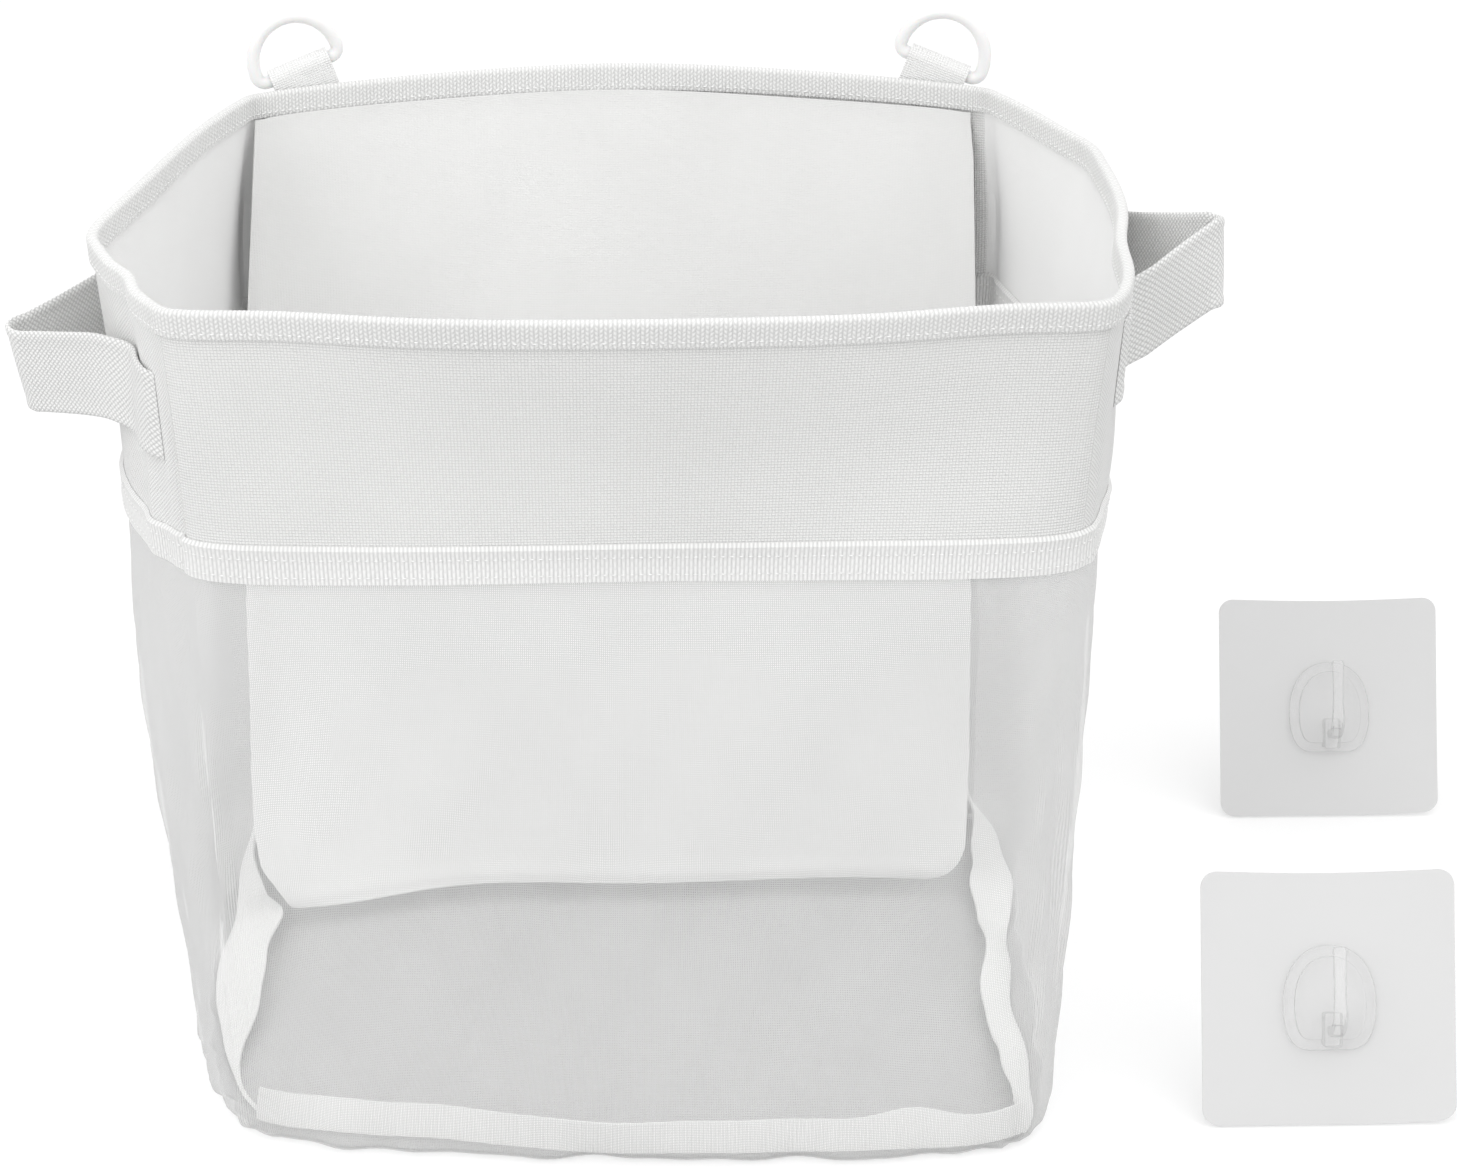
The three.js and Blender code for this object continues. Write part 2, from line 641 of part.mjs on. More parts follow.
function prongGeometry() {
  const rootZ = -PRONG_ROOT_DROP;
  const path = new THREE.Path();
  path.moveTo(0, rootZ);
  path.lineTo(PRONG_REACH - PRONG_BEND, rootZ);
  path.absarc(PRONG_REACH - PRONG_BEND, rootZ + PRONG_BEND, PRONG_BEND, -Math.PI / 2, 0);
  path.lineTo(PRONG_REACH, PRONG_TIP_RISE);
  const sections = path.getPoints(ARC_STEPS).map((point, step, points) => {
    const before = points[Math.max(step - 1, 0)];
    const after = points[Math.min(step + 1, points.length - 1)];
    const tangent = after.clone().sub(before).normalize();
    const corner = (across, up) => new THREE.Vector3(
      across * PRONG_WIDTH / 2,
      -point.x + up * tangent.y * PRONG_THICKNESS / 2,
      point.y + up * tangent.x * PRONG_THICKNESS / 2,
    );
    return [corner(-1, -1), corner(-1, 1), corner(1, 1), corner(1, -1)];
  });
  return loft(sections);
}

function hookBody() {
  const discFront = BOSS_FLANGE_THICKNESS + BOSS_DISC_THICKNESS;
  const flange = toSolid(plate(eggShape(0), 0, BOSS_FLANGE_THICKNESS));
  const disc = toSolid(plate(eggShape(BOSS_DISC_INSET), 0, discFront));
  const block = new THREE.BoxGeometry(PRONG_BLOCK_WIDTH, discFront + PRONG_BLOCK_DEPTH, PRONG_BLOCK_HEIGHT);
  block.translate(0, -(discFront + PRONG_BLOCK_DEPTH) / 2, -PRONG_ROOT_DROP);
  return toGeometry(flange.add(disc).add(toSolid(block)).add(toSolid(prongGeometry())));
}

function addHook(name, x, y) {
  const group = new THREE.Group();
  group.position.set(x, y, (HOOK_SHEET_SIZE / 2) * Math.cos(HOOK_LEAN));
  group.rotateX(-HOOK_LEAN);
  const square = roundedSquare(HOOK_SHEET_SIZE, HOOK_SHEET_CORNER);
  addMesh(`${name}_hook_sheet`, plate(square, 0, HOOK_SHEET_THICKNESS), clearPlastic, group);
  const body = addMesh(`${name}_hook_body`, hookBody(), clearPlastic, group);
  body.position.y = -HOOK_SHEET_THICKNESS - CLEARANCE;
  organizer.add(group);
}
addHook('upper', UPPER_HOOK_X, UPPER_HOOK_Y);
addHook('lower', LOWER_HOOK_X, LOWER_HOOK_Y);

export default organizer;
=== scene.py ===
"""Bath toy organizer: a soft sewn bin of woven cloth and sheer mesh, with a pair of clear stick-on hooks.

Laid out as an add-on and run as a script. Metres, +Z up, the front towards -Y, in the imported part's frame.
"""
import json
import math
from collections import namedtuple

import bpy
import numpy as np
from bpy.props import FloatProperty, FloatVectorProperty, PointerProperty
from mathutils import Matrix, Vector


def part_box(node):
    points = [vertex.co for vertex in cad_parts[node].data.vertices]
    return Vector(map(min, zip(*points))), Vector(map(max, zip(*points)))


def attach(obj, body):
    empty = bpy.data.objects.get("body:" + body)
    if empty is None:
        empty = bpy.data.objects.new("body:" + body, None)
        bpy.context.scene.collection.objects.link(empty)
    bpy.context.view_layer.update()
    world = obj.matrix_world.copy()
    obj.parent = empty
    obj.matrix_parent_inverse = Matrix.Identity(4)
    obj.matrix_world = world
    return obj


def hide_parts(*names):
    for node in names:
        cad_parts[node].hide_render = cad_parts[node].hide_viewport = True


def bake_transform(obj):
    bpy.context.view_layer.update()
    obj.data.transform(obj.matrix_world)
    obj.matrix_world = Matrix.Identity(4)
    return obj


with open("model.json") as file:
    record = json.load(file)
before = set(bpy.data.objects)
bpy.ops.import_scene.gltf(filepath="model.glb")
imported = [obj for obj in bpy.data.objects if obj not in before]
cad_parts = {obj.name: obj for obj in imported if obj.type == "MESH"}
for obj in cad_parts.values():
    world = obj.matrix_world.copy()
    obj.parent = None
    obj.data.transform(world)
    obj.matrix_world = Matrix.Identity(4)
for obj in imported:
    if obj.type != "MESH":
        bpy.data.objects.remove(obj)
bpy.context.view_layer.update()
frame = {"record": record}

bl_info = {
    "name": "Bath Toy Organizer",
    "version": (1, 0, 0),
    "blender": (4, 5, 0),
    "location": "View3D > Sidebar > Organizer",
    "description": "Builds a soft mesh bin with strap handles, rings and clear stick-on hooks",
    "category": "Add Mesh",
}

RECORD = frame["record"]
JOINTS = {joint["name"]: joint for joint in RECORD["behaviour"]["joints"]}
MOUNTS = {mount["name"]: mount for mount in RECORD["mounts"]}

# The bin's outline at the floor, at the seam between mesh and band, and at the rim
Outline = namedtuple(
    "Outline",
    "height front_width back_width front back front_bow back_bow left_bulge right_bulge corner skew rise",
)
FLOOR = Outline(0.0, 0.296, 0.312, 0.122, 0.116, 0.011, 0.003, 0.012, 0.007, 0.016, 0.006, 0.0)
SEAM = Outline(0.226, 0.304, 0.292, 0.1055, 0.115, 0.003, 0.010, 0.024, 0.016, 0.011, 0.0, 0.0)
RIM = Outline(0.3147, 0.312, 0.286, 0.110, 0.119, 0.011, 0.014, 0.027, 0.022, 0.010, 0.0, 0.006)
LEFT_BULGE_Y = -0.036
RIGHT_BULGE_Y = 0.030
ANCHORS = 12
WALL_ANCHORS = 3
WALL_STARTS = {"front": 0.5, "right": 3.5, "back": 6.5, "left": 9.5}
TURN_STEP = 1 / 216

# Soft swells of the cloth: place round the bin in anchors, height, spread each way, and depth outwards
Swell = namedtuple("Swell", "anchor height spread rise depth")
SWELLS = (
    Swell(1.30, 0.312, 0.22, 0.060, -0.0045),
    Swell(2.72, 0.312, 0.22, 0.060, -0.0050),
    Swell(1.85, 0.270, 0.35, 0.050, 0.0020),
    Swell(2.45, 0.250, 0.18, 0.030, -0.0012),
    Swell(1.50, 0.266, 0.70, 0.030, -0.0026),
    Swell(2.60, 0.268, 0.70, 0.030, -0.0026),
    Swell(11.00, 0.316, 0.16, 0.050, 0.0030),
    Swell(11.55, 0.300, 0.16, 0.040, -0.0035),
    Swell(10.60, 0.290, 0.20, 0.060, -0.0020),
    Swell(4.45, 0.300, 0.15, 0.050, -0.0030),
    Swell(5.20, 0.310, 0.16, 0.045, 0.0025),
    Swell(0.25, 0.250, 0.10, 0.030, -0.0022),
    Swell(11.75, 0.235, 0.10, 0.030, 0.0022),
    Swell(4.30, 0.245, 0.10, 0.030, 0.0025),
    Swell(4.62, 0.240, 0.10, 0.035, -0.0022),
    Swell(0.10, 0.100, 0.20, 0.080, -0.0030),
    Swell(3.85, 0.110, 0.20, 0.090, 0.0035),
    Swell(4.25, 0.120, 0.14, 0.080, -0.0030),
    Swell(11.50, 0.120, 0.25, 0.080, 0.0030),
    Swell(11.00, 0.150, 0.55, 0.070, 0.0060),
    Swell(9.75, 0.255, 0.30, 0.040, 0.0060),
    Swell(6.25, 0.255, 0.30, 0.040, 0.0050),
    Swell(4.60, 0.140, 0.50, 0.080, 0.0050),
    Swell(2.00, 0.110, 0.60, 0.070, -0.0025),
)
HEAVES = (Swell(6.30, 0.226, 1.10, 0.055, 0.0110), Swell(9.60, 0.226, 0.60, 0.055, 0.0030))
MESH_RIPPLES = ((23, 2.0, 0.4, 0.0007), (37, -3.0, 1.7, 0.0005), (61, 5.0, 2.6, 0.0003))
HEM_PUCKERS = ((29, 0.3, 0.0008), (47, 2.1, 0.0007), (71, 4.0, 0.0005))
HEM_HEIGHT = 0.018

# What the cloth is cut into
BAND_FACE = 0.0009
PANEL_TOP = 0.3047
PANEL_BOTTOM = 0.010
PANEL_TOP_WIDTH = 0.272
PANEL_BOTTOM_WIDTH = 0.286
PANEL_SHIFT = -0.003
PANEL_CORNER = 0.018
PANEL_STAND_OFF = 0.076
PANEL_TOP_STAND_OFF = 0.0024
PANEL_HALF_GAP = 0.0012
STRAP_HEIGHT = 0.276
STRAP_SEAT = 0.0021
STRAP_BACK_Y = 0.034
STRAP_SEWN = 0.014
STRAP_LEAVE = 0.018
STRAP_TIP = 0.004
STRAP_FOLD_Y = -0.040
STRAP_FOLD = 0.007
STRAP_REACH = 0.0305
STRAP_EASE = 0.010
LOOP_RADIUS = 0.0036
TAB_DROP = 0.028

# How finely the cloth is cut into faces, and how finely its walls are measured
CLOTH_PITCH = 0.003
RIB_FACES = 3
MEASURE_STEPS = 4000
SEARCH_STEPS = 600
SMOOTH_ANGLE = math.radians(45)


# Properties

def metres(name, description, default):
    return FloatProperty(name=name, description=description, default=default, unit="LENGTH")


def tint(name, description, default):
    return FloatVectorProperty(name=name, description=description, default=default, subtype="COLOR")


class BinSizes(bpy.types.PropertyGroup):
    """Sizes of the sewn bin that a user may change"""

    band_thickness: metres("Band thickness", "Thickness of the woven band", 0.0012)
    tape_thickness: metres("Tape thickness", "Thickness of the ribbed tapes", 0.0010)
    rim_tape_width: metres("Rim tape width", "Width of the rim tape on each side of the rim", 0.0090)
    seam_tape_width: metres("Seam tape width", "Width of the tape over the band's lower seam", 0.0130)
    floor_tape_width: metres("Floor tape width", "Width of the tapes inside the floor's edge", 0.0126)
    rib_pitch: metres("Rib pitch", "Distance between two ribs of a tape", 0.0014)
    rib_depth: metres("Rib depth", "Height of a rib of a tape", 0.00014)
    stitch_pitch: metres("Stitch pitch", "Distance between two stitches", 0.0030)
    strap_width: metres("Strap width", "Width of the strap handles", 0.0320)
    strap_thickness: metres("Strap thickness", "Thickness of the folded strap", 0.0019)
    webbing_width: metres("Webbing width", "Width of the tabs that hold the rings", 0.0240)


class FittingSizes(bpy.types.PropertyGroup):
    """Sizes of the rings and of the stick-on hooks"""

    ring_wire: metres("Ring wire", "Thickness of a ring's round wire", 0.0050)
    ring_width: metres("Ring width", "Inner width of a ring", 0.0280)
    ring_height: metres("Ring height", "Inner height of a ring", 0.0160)
    sheet_corner: metres("Sheet corner", "Corner radius of a hook's clear sheet", 0.0060)
    sheet_thickness: metres("Sheet thickness", "Thickness of a hook's clear sheet", 0.0008)
    boss_width: metres("Boss width", "Width of a hook's moulded boss", 0.0340)
    boss_height: metres("Boss height", "Height of a hook's moulded boss", 0.0380)


class Finishes(bpy.types.PropertyGroup):
    """Colours of the cloth, the tapes and the mouldings"""

    band: tint("Band cloth", "Colour of the woven band", (0.968, 0.968, 0.964))
    lining: tint("Band lining", "Colour of the woven band's smooth inside", (0.978, 0.978, 0.975))
    tape: tint("Tape", "Colour of the tapes on the rim and the seam", (0.94, 0.94, 0.936))
    floor_tape: tint("Floor tape", "Colour of the tapes inside the floor's edge", (0.94, 0.94, 0.936))
    mesh: tint("Mesh", "Colour of the sheer mesh", (0.925, 0.925, 0.923))
    panel: tint("Panel cloth", "Colour of the hanging panel", (0.920, 0.920, 0.916))
    strap: tint("Strap", "Colour of the straps", (0.965, 0.965, 0.961))
    ring: tint("Ring", "Colour of the moulded rings", (0.85, 0.85, 0.846))
    clear: tint("Clear plastic", "Tint of the stick-on hooks", (0.74, 0.74, 0.74))
    floor: tint("Floor", "Colour of the floor under the bin", (0.575, 0.575, 0.575))


class StageSizes(bpy.types.PropertyGroup):
    """Camera and lamps"""

    camera_place: FloatVectorProperty(
        name="Camera place", description="Where the camera stands", default=(-0.0280, -1.0607, 0.6839),
        unit="LENGTH")
    camera_pitch: FloatProperty(
        name="Camera pitch", description="How far the camera looks down", default=math.radians(26.13),
        subtype="ANGLE")
    camera_yaw: FloatProperty(
        name="Camera yaw", description="How far the camera looks to the right", default=math.radians(1.3),
        subtype="ANGLE")
    key_power: FloatProperty(
        name="Key power", description="Power of the large lamp, in watts", default=4.5)
    fill_power: FloatProperty(
        name="Fill power", description="Power of the lamp on the other side, in watts", default=1.5)
    top_power: FloatProperty(
        name="Top power", description="Power of the lamp above the opening, in watts", default=6.5)
    sky: FloatProperty(
        name="Sky", description="Strength of the even light from all round", default=1.10)


# Materials

class Nodes:
    """A node tree while it is made, with short ways to add to it"""

    def __init__(self, tree):
        self.tree = tree

    def feed(self, socket, value):
        if isinstance(value, bpy.types.NodeSocket):
            self.tree.links.new(value, socket)
        elif value is not None:
            socket.default_value = value

    def add(self, kind, inputs, **settings):
        node = self.tree.nodes.new(kind)
        for key, value in settings.items():
            setattr(node, key, value)
        for socket, value in inputs.items():
            self.feed(node.inputs[socket], value)
        return node

    def math(self, operation, *values):
        return self.add("ShaderNodeMath", dict(enumerate(values)), operation=operation).outputs[0]

    def mix(self, share, low, high, blend="MIX"):
        """A colour between two colours"""
        inputs = {0: share, 6: low, 7: high}
        return self.add("ShaderNodeMix", inputs, data_type="RGBA", blend_type=blend).outputs[2]


class Sketch(Nodes):
    """A material while it is made: its nodes, its main shader and the patterns of cloth"""

    def __init__(self, name, sockets):
        self.material = bpy.data.materials.new(name)
        self.material.use_nodes = True
        super().__init__(self.material.node_tree)
        self.shader = self.tree.nodes["Principled BSDF"]
        for socket, value in sockets.items():
            self.feed(self.shader.inputs[socket], value)

    def noise(self, scale, detail=3.0, stretch=(1, 1, 1)):
        place = self.add("ShaderNodeTexCoord", {}).outputs["Object"]
        drawn = self.add("ShaderNodeMapping", {"Vector": place, "Scale": stretch}).outputs[0]
        inputs = {"Vector": drawn, "Scale": scale, "Detail": detail}
        return self.add("ShaderNodeTexNoise", inputs).outputs["Fac"]

    def cells(self, pitch_along, pitch_across, turn=0.0):
        """The cloth's own measure, counted in cells along and across after a turn"""
        uv = self.add("ShaderNodeUVMap", {}, uv_map="Cloth").outputs[0]
        scale = (1 / pitch_along, 1 / pitch_across, 1)
        turned = self.add("ShaderNodeMapping", {"Vector": uv, "Rotation": (0, 0, turn)}).outputs[0]
        placed = self.add("ShaderNodeMapping", {"Vector": turned, "Scale": scale}).outputs[0]
        split = self.add("ShaderNodeSeparateXYZ", {0: placed}).outputs
        return split[0], split[1]

    def arch(self, place):
        """An arch over each cell, from 0 at its sides to 1 in its middle"""
        return self.math("SINE", self.math("MULTIPLY", self.math("FRACT", place), math.pi))

    def odd(self, place):
        """1 in every second cell"""
        return self.math("FLOORED_MODULO", self.math("FLOOR", place), 2.0)

    def weave(self, pitch_along, pitch_across, turn=0.0):
        """Height of a plain weave, from 0 between threads to 1 on top of one"""
        x, y = self.cells(pitch_along, pitch_across, turn)
        along, across = self.arch(x), self.arch(y)
        over = self.math("FLOORED_MODULO", self.math("ADD", self.odd(x), self.odd(y)), 2.0)
        warp = self.math("MULTIPLY", along, self.math("MULTIPLY_ADD", across, 0.5, 0.5))
        weft = self.math("MULTIPLY", across, self.math("MULTIPLY_ADD", along, 0.5, 0.5))
        return self.math("MULTIPLY_ADD", over, self.math("SUBTRACT", weft, warp), warp)

    def chevrons(self, pitch_along, pitch_across, turn=0.0):
        """Height of ribs of slanted stitches, which slant the other way in every second rib"""
        x, y = self.cells(pitch_along, pitch_across, turn)
        way = self.math("SUBTRACT", self.odd(x), 0.5)
        row = self.math("MULTIPLY_ADD", way, self.math("FRACT", x), y)
        return self.math("MULTIPLY", self.arch(x), self.math("MULTIPLY_ADD", self.arch(row), 0.75, 0.25))

    def ribs(self, pitch_along, pitch_across, turn=0.0):
        """Height of long ribs that are drawn in a little by rows of stitches"""
        x, y = self.cells(pitch_along, pitch_across, turn)
        row = self.math("MULTIPLY_ADD", self.odd(x), 0.35, y)
        drawn_in = self.math("POWER", self.arch(row), 0.4)
        return self.math("MULTIPLY", self.arch(x), self.math("MULTIPLY_ADD", drawn_in, 0.6, 0.4))

    def colour(self, value):
        self.feed(self.shader.inputs["Base Color"], value)

    def bump(self, height, distance):
        inputs = {"Height": height, "Distance": distance, "Strength": 1.0}
        self.feed(self.shader.inputs["Normal"], self.add("ShaderNodeBump", inputs).outputs[0])


def shade(colour, share):
    return tuple(channel * share for channel in colour) + (1.0,)


CLOUD_SCALE = 9.0
SLUB_SCALE = 420.0
CLOTH_SOCKETS = {"Roughness": 0.92, "Sheen Weight": 0.25, "Sheen Roughness": 0.5, "Specular IOR Level": 0.2}


def woven_finish(name, colour, pitch, turn=0.0, gap_shade=0.80, depth=0.0003, pattern=Sketch.weave):
    """Cloth whose threads show: painted shade between the threads, slubs, and broad random patches of tone,
    partly the cloth's own unevenness and partly painted shade of soft folds
    """
    sketch = Sketch(name, CLOTH_SOCKETS)
    height = pattern(sketch, *pitch, turn)
    # The colour is darker where the pattern is low, between threads, ribs and stitches: painted shade in the
    # hollows of the cloth
    threads = sketch.mix(height, shade(colour, gap_shade), shade(colour, 1.0))
    # Broad random patches of lighter and darker tone: partly the cloth's own unevenness, partly painted
    # shade of soft folds
    cloudy = sketch.mix(sketch.noise(CLOUD_SCALE), shade(colour, 0.86), shade(colour, 1.05))
    sketch.colour(sketch.mix(1.0, threads, cloudy, "MULTIPLY"))
    slub = sketch.math("MULTIPLY", sketch.noise(SLUB_SCALE, 1.0), 0.35)
    sketch.bump(sketch.math("ADD", height, slub), depth)
    return sketch.material


def sheer_finish(name, colour, pitch, thread_alpha, hole_alpha):
    """Fine open mesh: threads that cover most of the light and holes that let it through"""
    sketch = Sketch(name, {"Roughness": 0.85, "Sheen Weight": 0.15, "Specular IOR Level": 0.2})
    x, y = sketch.cells(pitch, pitch)
    thread = sketch.math("MAXIMUM", sketch.arch(x), sketch.arch(y))
    cover = sketch.add(
        "ShaderNodeMapRange",
        {"Value": thread, "From Min": 0.62, "From Max": 0.86, "To Min": hole_alpha, "To Max": thread_alpha},
    ).outputs[0]
    cloudy = sketch.math("MULTIPLY_ADD", sketch.noise(CLOUD_SCALE), 0.16, 0.92)
    sketch.feed(sketch.shader.inputs["Alpha"], sketch.math("MULTIPLY", cover, cloudy))
    # The colour is darker off the threads' crowns: painted shade on the threads' sides
    sketch.colour(sketch.mix(thread, shade(colour, 0.86), shade(colour, 1.0)))
    sketch.bump(thread, 0.0001)
    return sketch.material


def moulded_finish(name, colour, sockets, grain=0.00003):
    """Moulded plastic with a faint unevenness from the tool"""
    sketch = Sketch(name, sockets)
    sketch.colour(sketch.mix(sketch.noise(60.0), shade(colour, 0.965), shade(colour, 1.0)))
    sketch.bump(sketch.noise(260.0, 2.0), grain)
    return sketch.material


def clear_finish(name, colour, sockets, streak=(1, 1, 1)):
    """Clear plastic with a milky cast that is a little uneven"""
    sketch = Sketch(name, sockets)
    sketch.colour(sketch.mix(sketch.noise(18.0, 2.0, streak), shade(colour, 0.97), shade(colour, 1.0)))
    sketch.bump(sketch.noise(45.0, 1.0), 0.00005)
    return sketch.material


# The walls' shape

def outline_points(outline):
    """Two points at each corner and one in the middle of each side, from the front left corner on"""
    front_x, back_x = outline.front_width / 2, outline.back_width / 2
    corner, front, back = outline.corner, outline.front, outline.back

    def side(y):
        return np.interp(y, (-front, back), (front_x, back_x))

    points = (
        (-front_x, corner - front + outline.skew, 0),
        (corner - front_x, -front + outline.skew, 0),
        (0, -front - outline.front_bow, 0),
        (front_x - corner, -front - outline.skew, 0),
        (front_x, corner - front - outline.skew, 0),
        (side(RIGHT_BULGE_Y) + outline.right_bulge, RIGHT_BULGE_Y, 0),
        (back_x, back - corner, 0),
        (back_x - corner, back, 0),
        (0, back + outline.back_bow, outline.rise),
        (corner - back_x, back, 0),
        (-back_x, back - corner, 0),
        (-side(LEFT_BULGE_Y) - outline.left_bulge, LEFT_BULGE_Y, 0),
    )
    return np.array(points, float) + (0, 0, outline.height)


FLOOR_RING, SEAM_RING, RIM_RING = map(outline_points, (FLOOR, SEAM, RIM))


def closed_spline(points, turn):
    """A smooth closed curve through the points, at turns from 0 to 1"""
    count = len(points)
    place = np.mod(turn, 1.0) * count
    first = np.floor(place).astype(int)
    share = (place - first)[..., None]
    before, start, end, after = (points[(first + k) % count] for k in (-1, 0, 1, 2))
    gaps = [np.sqrt(np.linalg.norm(b - a, axis=-1, keepdims=True))
            for a, b in ((before, start), (start, end), (end, after))]
    leave = (start - before) / gaps[0] - (end - before) / (gaps[0] + gaps[1]) + (end - start) / gaps[1]
    arrive = (end - start) / gaps[1] - (after - start) / (gaps[1] + gaps[2]) + (after - end) / gaps[2]
    leave, arrive = leave * gaps[1], arrive * gaps[1]
    square = 3 * (end - start) - 2 * leave - arrive
    cube = 2 * (start - end) + leave + arrive
    return start + share * (leave + share * (square + share * cube))


def skin(turn, height):
    """The plain middle of the wall's cloth"""
    low, seam, rim = (closed_spline(ring, turn) for ring in (FLOOR_RING, SEAM_RING, RIM_RING))
    height = height[..., None]
    mesh = low + (seam - low) * height / SEAM.height
    band = seam + (rim - seam) * (height - SEAM.height) / (RIM.height - SEAM.height)
    return np.where(height < SEAM.height, mesh, band)


def swelling(turn, height, swells):
    """How far a set of swells moves the cloth"""
    depth = np.zeros_like(turn)
    for swell in swells:
        away = np.mod(turn * ANCHORS - swell.anchor + ANCHORS / 2, ANCHORS) - ANCHORS / 2
        up = (height - swell.height) / swell.rise
        depth += swell.depth * np.exp(-(away / swell.spread) ** 2 - up ** 2)
    return depth


def drape(turn, height):
    """How far the soft cloth stands out of its plain shape"""
    depth = swelling(turn, height, SWELLS)
    share = np.clip(height / SEAM.height, 0, 1)
    slack = 4 * share * (1 - share)
    for waves, climb, start, size in MESH_RIPPLES:
        depth += size * slack * np.sin(2 * math.pi * (waves * turn + climb * height / SEAM.height) + start)
    hem = np.exp(-(height / HEM_HEIGHT) ** 2)
    for waves, start, size in HEM_PUCKERS:
        depth += size * hem * np.sin(2 * math.pi * waves * turn + start)
    return depth


def level_out(turn, height):
    """The level direction out of the wall"""
    ahead = skin(turn + TURN_STEP, height) - skin(turn - TURN_STEP, height)
    out = np.stack((ahead[..., 1], -ahead[..., 0], np.zeros_like(turn)), -1)
    return out / np.linalg.norm(out, axis=-1, keepdims=True)


def wall(turn, height, out=0.0):
    """Points of the draped wall, moved outwards by out"""
    turn, height, out = np.broadcast_arrays(*(np.asarray(v, float) for v in (turn, height, out)))
    points = skin(turn, height) + level_out(turn, height) * (out + drape(turn, height))[..., None]
    points[..., 2] += swelling(turn, height, HEAVES)
    return points


def wall_turn(name, share):
    return (WALL_STARTS[name] + WALL_ANCHORS * share) / ANCHORS


def turn_where(name, height, axis, value):
    """The turn at which a wall crosses the given x (axis 0) or y (axis 1)"""
    turns = wall_turn(name, np.linspace(0, 1, SEARCH_STEPS))
    places = skin(turns, np.full_like(turns, height))[:, axis]
    order = np.argsort(places)
    return np.interp(value, places[order], turns[order])


def run_along(path):
    """How far along a path each of its points lies"""
    steps = np.linalg.norm(np.diff(path, axis=0), axis=1)
    return np.concatenate(([0.0], np.cumsum(steps)))


def even_columns(first, last, count, height=SEAM.height):
    """Turns spaced evenly along the wall, and how far along it each lies"""
    fine = np.linspace(first, last, MEASURE_STEPS)
    run = run_along(wall(fine, height))
    even = np.linspace(0, run[-1], count + 1)
    return np.interp(even, run, fine), even


def run_length(first, last, height=SEAM.height):
    return even_columns(first, last, 1, height)[1][-1]


def wall_columns(name, pitch, height=SEAM.height):
    """One wall's length, turns spaced evenly along it, and how far along it each lies"""
    first, last = wall_turn(name, 0), wall_turn(name, 1)
    length = run_length(first, last, height)
    return length, *even_columns(first, last, round(length / pitch), height)


# Making and finishing pieces

def pick(piece):
    bpy.ops.object.select_all(action="DESELECT")
    piece.select_set(True)
    bpy.context.view_layer.objects.active = piece


def new_piece(name, points, faces):
    mesh = bpy.data.meshes.new(name)
    mesh.from_pydata(points.reshape(-1, 3).tolist(), [], faces.tolist())
    piece = bpy.data.objects.new(name, mesh)
    bpy.context.scene.collection.objects.link(piece)
    return piece


def added_piece(name, operator, **settings):
    """A piece that starts as one of Blender's own shapes"""
    bpy.ops.object.select_all(action="DESELECT")
    operator(**settings)
    piece = bpy.context.object
    piece.name = piece.data.name = name
    return piece


def grid_piece(name, points, u, v, closed=False):
    """A sheet of faces through rows of points, with its cloth's own measure as UV map"""
    rows, columns = points.shape[:2]
    gaps = columns if closed else columns - 1
    row, column = np.meshgrid(np.arange(rows - 1), np.arange(gaps), indexing="ij")
    corners = ((row, column), (row, column + 1), (row + 1, column + 1), (row + 1, column))
    faces = np.stack([r * columns + c % columns for r, c in corners], -1).reshape(-1, 4)
    cloth = np.stack([np.stack((u[c], v[r]), -1) for r, c in corners], -2)
    piece = new_piece(name, points, faces)
    piece.data.uv_layers.new(name="Cloth").data.foreach_set("uv", cloth.astype(np.float32).ravel())
    return piece


def apply_modifier(piece, kind, **settings):
    pick(piece)
    bpy.ops.object.modifier_add(type=kind)
    modifier = piece.modifiers[-1]
    for key, value in settings.items():
        setattr(modifier, key, value)
    bpy.ops.object.modifier_apply(modifier=modifier.name)


def thicken(piece, thickness):
    apply_modifier(piece, "SOLIDIFY", thickness=thickness, offset=0.0, use_even_offset=True)


def face_out(piece, fill=False):
    """Turns a piece's faces outwards, after filling its open ends where that is asked for"""
    pick(piece)
    bpy.ops.object.mode_set(mode="EDIT")
    bpy.ops.mesh.select_all(action="SELECT")
    if fill:
        bpy.ops.mesh.fill_holes(sides=0)
        bpy.ops.mesh.select_all(action="SELECT")
    bpy.ops.mesh.normals_make_consistent(inside=False)
    bpy.ops.object.mode_set(mode="OBJECT")


def axes_at(place, x, y):
    """The frame at a place, from its x and y directions"""
    return Matrix.Translation(place) @ Matrix((x, y, x.cross(y))).transposed().to_4x4()


def finish(piece, material, slot, *nodes):
    """Smooth shading, a finish, and hides the imported parts of the record's nodes that the piece stands
    for; the slot is not used
    """
    pick(piece)
    bpy.ops.object.shade_smooth_by_angle(angle=SMOOTH_ANGLE)
    piece.data.materials.clear()
    piece.data.materials.append(material)
    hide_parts(*nodes)


def stitch_row(name, points, out, length, girth):
    """Short stitches between pairs of points, each a slim spindle that lies on the cloth"""
    ahead = np.roll(points, -1, axis=0) - points
    ahead /= np.linalg.norm(ahead, axis=1, keepdims=True)
    side = np.cross(ahead, out)
    corners = (
        points - ahead * length / 2,
        points + side * girth / 2 + out * girth / 4,
        points + out * girth / 2,
        points - side * girth / 2 + out * girth / 4,
        points - out * girth / 2,
        points + ahead * length / 2,
    )
    spindle = np.array([(0, k, k % 4 + 1) for k in range(1, 5)] + [(5, k % 4 + 1, k) for k in range(1, 5)])
    faces = (spindle[None] + 6 * np.arange(len(points))[:, None, None]).reshape(-1, 3)
    piece = new_piece(name, np.stack(corners, 1), faces)
    face_out(piece)
    bpy.ops.object.shade_smooth()
    return piece


